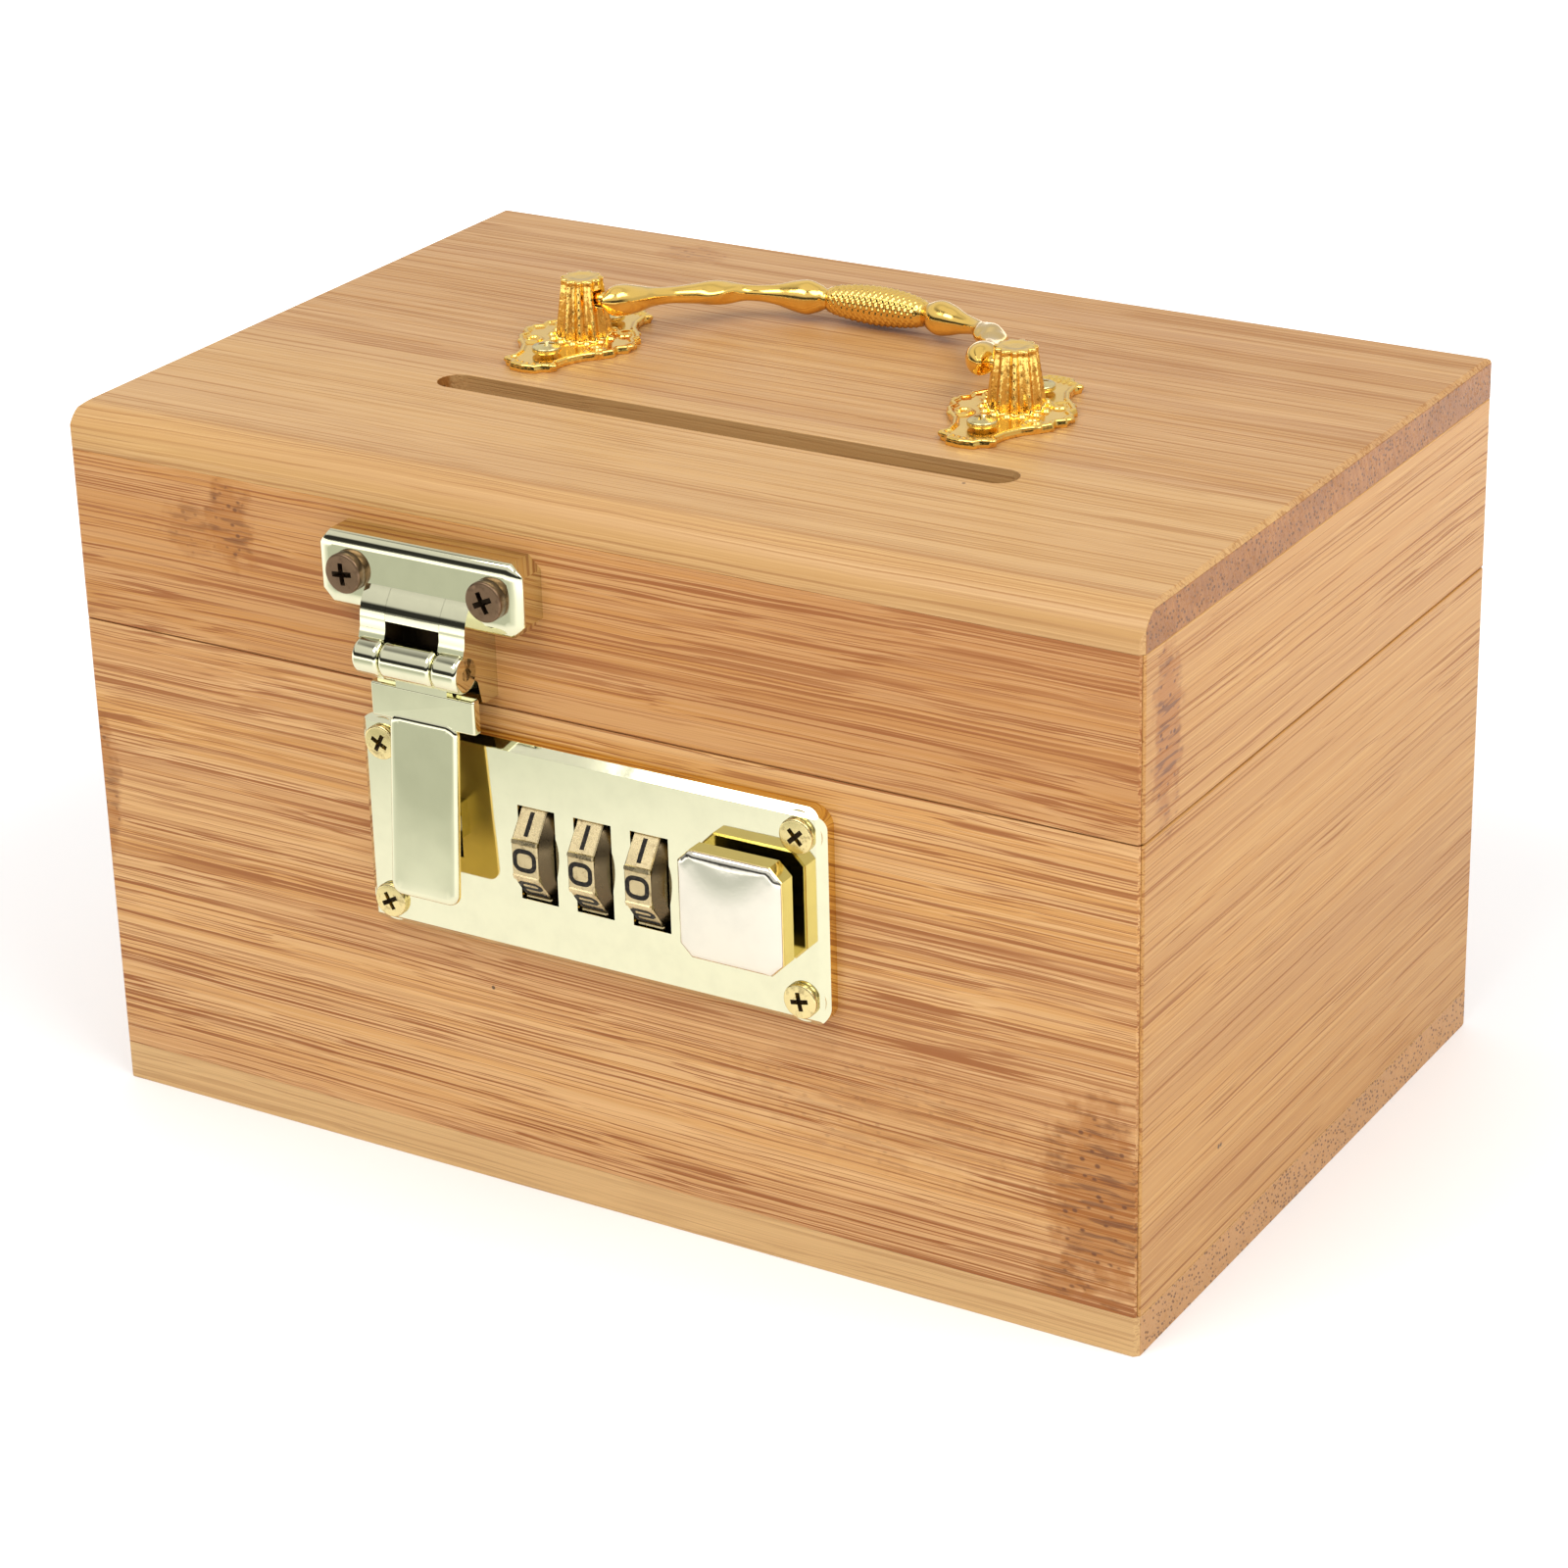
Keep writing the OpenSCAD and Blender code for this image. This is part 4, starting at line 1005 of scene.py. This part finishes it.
def strap():
    """The strap: its knuckle, a flat head, the raised tongue and the staple behind it."""
    head_out = 7.0
    head_t = 1.6
    head_top, head_foot = 91.0, 85.0
    tongue_w = 13.2
    foot = STRAP_LOW.z
    head = stack("head", round_outline(2 * HEAD_HALF, head_top - head_foot, 0.5),
                 [(0, 0), (0, head_t - 0.5), (0.15, head_t - 0.2), (0.45, head_t)], pale_gold)
    placed(head, on_front(HASP_X, (head_top + head_foot) / 2, head_out - head_t))
    lip = [(head_out - head_t, 97.0), (head_out - 0.1, 95.0), (head_out - 0.1, head_top - 1),
           (head_out - head_t, head_top - 1)]
    lip = side_view("lip", lip, HASP_X - KNUCKLE_HALF, HASP_X + KNUCKLE_HALF, pale_gold)
    length = head_foot + 1.2 - foot
    slope = math.atan2(2.5, 30.0)
    tongue = stack("tongue", dense(round_outline(tongue_w, length, 2.0, steps=8), 1.5),
                   [(0, 0), (0, 0.45), (0.1, 0.7), (0.32, 0.9), (0.7, 1.02), (1.2, 1.08)],
                   pale_gold, dome=0.2)
    # The tongue's back and the lowest band of its sides are rough and half metallic, coloured
    # warm gold as a painted reflection of the wood.
    tongue.data.materials.append(reflection_back_gold)
    for face in tongue.data.polygons:
        if face.center.z / MM < 0.3:
            face.material_index = 1
    placed(tongue, on_front(HASP_X, foot + length / 2, 7.4) @ turned(-slope, "X"))
    staple_x = HASP_X + 0.7
    staple = [(STRAP_BACK, 63.0), (8.2, 63.0), (7.7, 69.4), (STRAP_BACK, 69.4)]
    staple = soften(side_view("staple", staple, staple_x - 1.2, staple_x + 1.2, pale_gold), 0.2)
    eye = side_view("eye", [(0.7, 64.6), (2.1, 64.6), (2.1, 67.8), (0.7, 67.8)],
                    staple_x - 2, staple_x + 2, pale_gold)
    pieces = [polish(knuckle(HASP_X - KNUCKLE_HALF, HASP_X + KNUCKLE_HALF, pale_gold), 50),
              polish(head), polish(lip), polish(tongue, 50), polish(carve(staple, eye))]
    stand_for(join("hasp_strap_body", pieces), "hasp_strap")


# ---------------------------------------------------------------- handle

POST_LOW, POST_HIGH = corners("left_handle_post")
POST_TOP = POST_HIGH.z - LID_TOP
ROSETTE_Y = (POST_LOW.y + POST_HIGH.y) / 2
# The bail's pivot line: its place from front to back, and its height above the lid
PIVOT_Y = 4.0
PIVOT_H = 8.0
# The pivot line's place in a rosette drawn about its own middle
PIVOT_IN_ROSETTE = PIVOT_Y - ROSETTE_Y


def rosette_outline():
    """The cartouche: a lozenge with hollow sides, blunt tips and a knob at each side."""
    quarter = [(10.6, 0.0), (10.9, 1.4), (9.6, 2.6), (9.9, 4.2), (8.6, 6.0), (6.4, 8.4),
               (5.0, 11.2), (4.6, 13.6), (5.2, 14.8), (4.4, 16.0), (3.2, 16.4), (2.6, 17.6),
               (0.0, 18.0)]
    half = quarter + [(-x, y) for x, y in reversed(quarter[:-1])]
    return half + [(-x, -y) for x, y in half[1:-1]]


def fluted_post(material):
    """A tapered post with flutes and a scalloped, slightly hollow top."""
    flutes = 11
    sides = flutes * 8
    foot_r, top_r = 4.75, 3.25
    # (share of the height, share of the radius, share of the flutes' depth)
    levels = [(0.0, 1.12, 0.0), (0.06, 1.10, 0.2), (0.1, 1.0, 1.0), (0.5, 1.0, 1.0),
              (0.92, 1.0, 1.0), (0.975, 1.04, 1.1), (1.0, 0.98, 1.0), (1.0, 0.7, 0.5),
              (0.99, 0.4, 0.0), (0.99, 0.2, 0.0)]
    points = []
    for share, wide, depth in levels:
        radius = (foot_r + (top_r - foot_r) * share) * wide
        for s in range(sides):
            a = TURN * s / sides
            r = radius * (1 + 0.10 * depth * math.cos(flutes * a))
            points.append((r * math.cos(a), r * math.sin(a), POST_TOP * share))
    return placed(closed("post", points, sides, material), shift(0, PIVOT_IN_ROSETTE, 0))


def curl(centre, start, sense):
    """A scroll on a rosette: a tube that winds inwards once about centre."""
    steps = 26
    path = []
    for k in range(steps + 1):
        share = k / steps
        a = start + sense * TURN * 1.1 * share
        r = 2.3 * (1 - 0.8 * share)
        path.append((centre[0] + r * math.cos(a), centre[1] + r * math.sin(a),
                     0.95 + 0.3 * share))
    return tube("curl", path, lambda s: 0.42 * (1 - 0.25 * s), 10, rich_gold)


def handle_post(side):
    """One rosette and post, cast in one."""
    node = ("left" if side < 0 else "right") + "_handle_post"
    low, high = corners(node)
    outline = rosette_outline()
    plate = stack("plate", outline, [(0, 0), (0, 0.7), (0.3, 1.0)], rich_gold)
    rim_path = [(x, y, 1.0) for x, y in inset(outline, 0.55)]
    rim = tube("rim", rim_path + rim_path[:1], lambda s: 0.5, 8, rich_gold)
    pieces = [plate, rim, fluted_post(post_gold)]
    for sx in (-1, 1):
        pieces.append(ball("knob", (sx * 10.4, 0, 0.9), (0.9, 1.0, 0.6), rich_gold, 14))
        for sy in (-1, 1):
            start = sx * sy * 0.6 + (0 if sx > 0 else 3.14)
            pieces.append(curl((sx * 6.6, sy * 4.6), start, sx * sy))
            pieces.append(ball("knob", (sx * 4.6, sy * 15.0, 0.9), (0.8, 0.8, 0.6),
                               rich_gold, 12))
    for sy in (-1, 1):
        for k in range(-2, 3):
            pieces.append(ball("bead", (k * 1.15, sy * (16.6 - 0.25 * abs(k)), 0.95),
                               (0.55, 0.9, 0.55), rich_gold, 12))
    for x, y, z in ring(5.5, 1.1, 14):
        pieces.append(ball("bead", (x, PIVOT_IN_ROSETTE + y, z), (0.7, 0.7, 0.6), rich_gold,
                           12))
    post = cast_skin(join(node + "_casting", pieces), 0.17, smoothing=2)
    for face in post.data.polygons:
        place = face.center / MM
        if 1.9 < place.z < POST_TOP - 0.3 and abs(place.x) < 5.6:
            face.material_index = 1
    hole = lathe("hole", [(0, 0), (1.7, 0), (1.7, 6), (0, 6)], 32, rich_gold)
    placed(hole, shift(-side * 1.2, PIVOT_IN_ROSETTE, PIVOT_H) @ turned(-side * QUARTER, "Y"))
    placed(carve(post, hole), on_lid((low.x + high.x) / 2, ROSETTE_Y))
    return stand_for(post, node)


# Half of the bail, as (distance to the side, reach from the pivot line, radius in the bail's
# plane, radius across it), from the pivot to the middle
BAIL_LINE = [
    (36.6, -2.4, 0.5, 0.6), (35.6, -0.6, 2.1, 2.4), (34.9, 1.8, 2.8, 2.7),
    (34.0, 4.6, 2.6, 2.3), (33.0, 7.6, 1.8, 1.7), (31.8, 10.6, 1.5, 1.45),
    (30.6, 13.0, 1.7, 1.5), (28.9, 16.2, 2.4, 1.8), (27.0, 19.0, 2.8, 2.0),
    (25.0, 21.2, 2.1, 1.8), (23.2, 22.8, 1.45, 1.4), (20.6, 24.4, 1.5, 1.45),
    (18.0, 25.4, 1.9, 1.9), (15.6, 26.2, 2.6, 2.6), (13.2, 26.9, 3.0, 3.0),
    (11.2, 27.5, 2.4, 2.4), (10.0, 27.8, 1.8, 1.8), (9.2, 28.0, 2.2, 2.2),
    (7.0, 28.4, 2.9, 2.7), (4.0, 28.7, 3.3, 3.1), (0.0, 28.8, 3.5, 3.3)]
BAIL_DROP = 4.1 / 28.8
BOSS_HALF = 9.4
LEAF_FROM, LEAF_TO = 24.0, 29.6


def smooth_between(a, b, c, d, t):
    """A smooth curve from b to c, with neighbours a and d."""
    return [0.5 * (2 * q + (r - p) * t + (2 * p - 5 * q + 4 * r - s) * t * t
                   + (3 * q - p - 3 * r + s) * t ** 3) for p, q, r, s in zip(a, b, c, d)]


def bail_rings(steps):
    """The bail's whole line as (x, reach, radius in the plane, radius across it)."""
    line = [(-x, *rest) for x, *rest in BAIL_LINE[:-1]] + BAIL_LINE[::-1]
    rings = []
    last = len(line) - 1
    for k in range(last):
        a, b, c, d = (line[min(max(k + j, 0), last)] for j in (-1, 0, 1, 2))
        length = math.hypot(c[0] - b[0], c[1] - b[1])
        count = max(3, round(length / steps))
        rings += [smooth_between(a, b, c, d, i / count) for i in range(count)]
    return rings + [list(line[-1])]


def bail():
    """The carrying bail: plain rods, leaves, bulges and a scaled boss in the middle."""
    rings = bail_rings(0.15)
    sides = 72
    centres = [Vector((x, PIVOT_Y + reach, LID_TOP + PIVOT_H - reach * BAIL_DROP))
               for x, reach, in_plane, wide in rings]
    points = []
    places = rings_along(centres, Vector((0, BAIL_DROP, 1)).normalized())
    for (centre, up, inward), (x, reach, in_plane, wide) in zip(places, rings):
        from_middle = abs(x)
        boss = min(1, max(0, (BOSS_HALF - from_middle) / 0.8))
        leaf = min(1, max(0, (from_middle - LEAF_FROM) / 1.2),
                   max(0, (LEAF_TO - from_middle) / 1.2))
        for s in range(sides):
            turn = TURN * s / sides
            scale = (1.0 + 0.06 * boss * math.cos(TURN * x / 1.2) * math.cos(13 * turn)
                     + 0.05 * leaf * math.cos(4 * turn + from_middle * 0.9))
            points.append(centre + up * math.cos(turn) * wide * scale
                          + inward * math.sin(turn) * in_plane * scale)
    pieces = [closed("bail", points, sides, rich_gold)]
    for side in (-1, 1):
        pin = lathe("pin", [(0, 0), (1.15, 0), (1.15, 5.2), (0, 5.2)], 24, rich_gold)
        pieces.append(placed(pin, shift(side * 35.6, PIVOT_Y, LID_TOP + PIVOT_H)
                             @ turned(side * QUARTER, "Y")))
    return stand_for(join("bail_casting", pieces), "bail_handle")


def handle():
    for side in (-1, 1):
        handle_post(side)
    bail()


# ---------------------------------------------------------------- rear hinges

def rear_hinges():
    for side in ("left", "right"):
        for leaf in ("base", "lid"):
            from_cad(f"{side}_hinge_{leaf}_leaf", rich_gold, 0.15)
        from_cad(f"{side}_hinge_pin", rich_gold, 0.1)


# ---------------------------------------------------------------- studio

def floor():
    """A pale table top. A soft grey patch, out of the camera's sight, is for the lock's plating
    to reflect.
    """
    g = Graph("studio_floor")
    mottle = g.noise(g.place, detail=2.0, scale=0.01)
    pale = g.blend(mottle, (0.93, 0.93, 0.93), (0.95, 0.95, 0.95))
    away = g.distance(g.add(g.x, 205), g.add(g.y, 365))
    pale = g.blend(g.step(away, 226, 146, 0.0, 0.5), pale, (0.43, 0.48, 0.40))
    pale = g.blend(g.step(away, 150, 92, 0.0, 0.42), pale, (0.19, 0.22, 0.16))
    glow = g.times(g.step(g.distance(g.x, g.y), 170, 620, 0.07, 0.9), g.step(away, 150, 300))
    g.shade(Base_Color=pale, Roughness=0.6, Emission_Color=(1.0, 1.0, 1.0),
            Emission_Strength=glow)
    size = 4000
    plane = new_piece("studio_floor", [(-size, -size, -0.02), (size, -size, -0.02),
                                       (size, size, -0.02), (-size, size, -0.02)],
                      [(0, 1, 2, 3)], g.material, smooth=False)


def direction(azimuth, elevation):
    """The direction from the box to a viewer or a lamp, for angles in degrees."""
    a, e = math.radians(azimuth), math.radians(elevation)
    return Vector((math.sin(a) * math.cos(e), -math.cos(a) * math.cos(e), math.sin(e)))


def facing(back):
    """A turn that makes a camera or a lamp look against the direction back."""
    return back.to_track_quat("Z", "Y").to_matrix().to_4x4()


def soft_box(name, azimuth, elevation, power):
    """A large area light that looks at the box from the given direction."""
    away = direction(azimuth, elevation)
    light = bpy.data.lights.new(name, "AREA")
    light.shape = "RECTANGLE"
    light.size = 0.9
    light.size_y = 0.5
    light.energy = power
    lamp = add_object(name, light)
    lamp.matrix_world = shift(*(away * 1300 + Vector((0, 0, 70)))) @ facing(away)


def studio_world():
    """Soft white surroundings with a dark band low down in front, for the metal to reflect."""
    world = bpy.data.worlds.new("studio")
    world.use_nodes = True
    bpy.context.scene.world = world
    g = Nodes(world.node_tree)
    side, back, height = g.split(g.new("TexCoord", output="Generated"))
    band = g.new("ValToRGB", (height,))
    ramp = band.node.color_ramp
    stops = [(0.0, 0.30), (0.04, 0.04), (0.24, 0.04), (0.33, 0.9), (0.70, 1.0),
             (0.78, 0.25), (0.84, 0.25), (0.90, 1.0), (1.0, 1.0)]
    for position, value in stops:
        element = (ramp.elements[0] if position == 0 else ramp.elements[-1] if position == 1
                   else ramp.elements.new(position))
        element.color = (value, value, value, 1)
    around = g.blend(g.new("MapRange", (back, -0.3, 0.1, 0.0, 0.72)), band, (0.92,) * 3)
    seen = g.blend(g.new("LightPath", output="Is Camera Ray"), around, (1.15,) * 3)
    surroundings = g.tree.nodes["Background"]
    g.feed(surroundings.inputs["Color"], seen)
    g.feed(surroundings.inputs["Strength"], 0.9)


def camera():
    """The camera, rolled a little, looks at the box from its front right."""
    data = bpy.data.cameras.new("camera")
    data.sensor_width = 36
    data.lens = 99.49
    data.clip_start = 0.01
    eye = add_object("camera", data)
    eye.matrix_world = (shift(359.49, -586.45, 356.5) @ facing(direction(31.635, 23.896))
                        @ turned(math.radians(-1.601), "Z"))
    bpy.context.scene.camera = eye


def studio():
    floor()
    studio_world()
    soft_box("key", -15, 52, 7.3)
    soft_box("side", 80, 50, 6.8)
    view = bpy.context.scene.view_settings
    view.view_transform = "Standard"
    view.look = "None"


camera()
boards()
hasp()
lock()
handle()
screws()
rear_hinges()
studio()
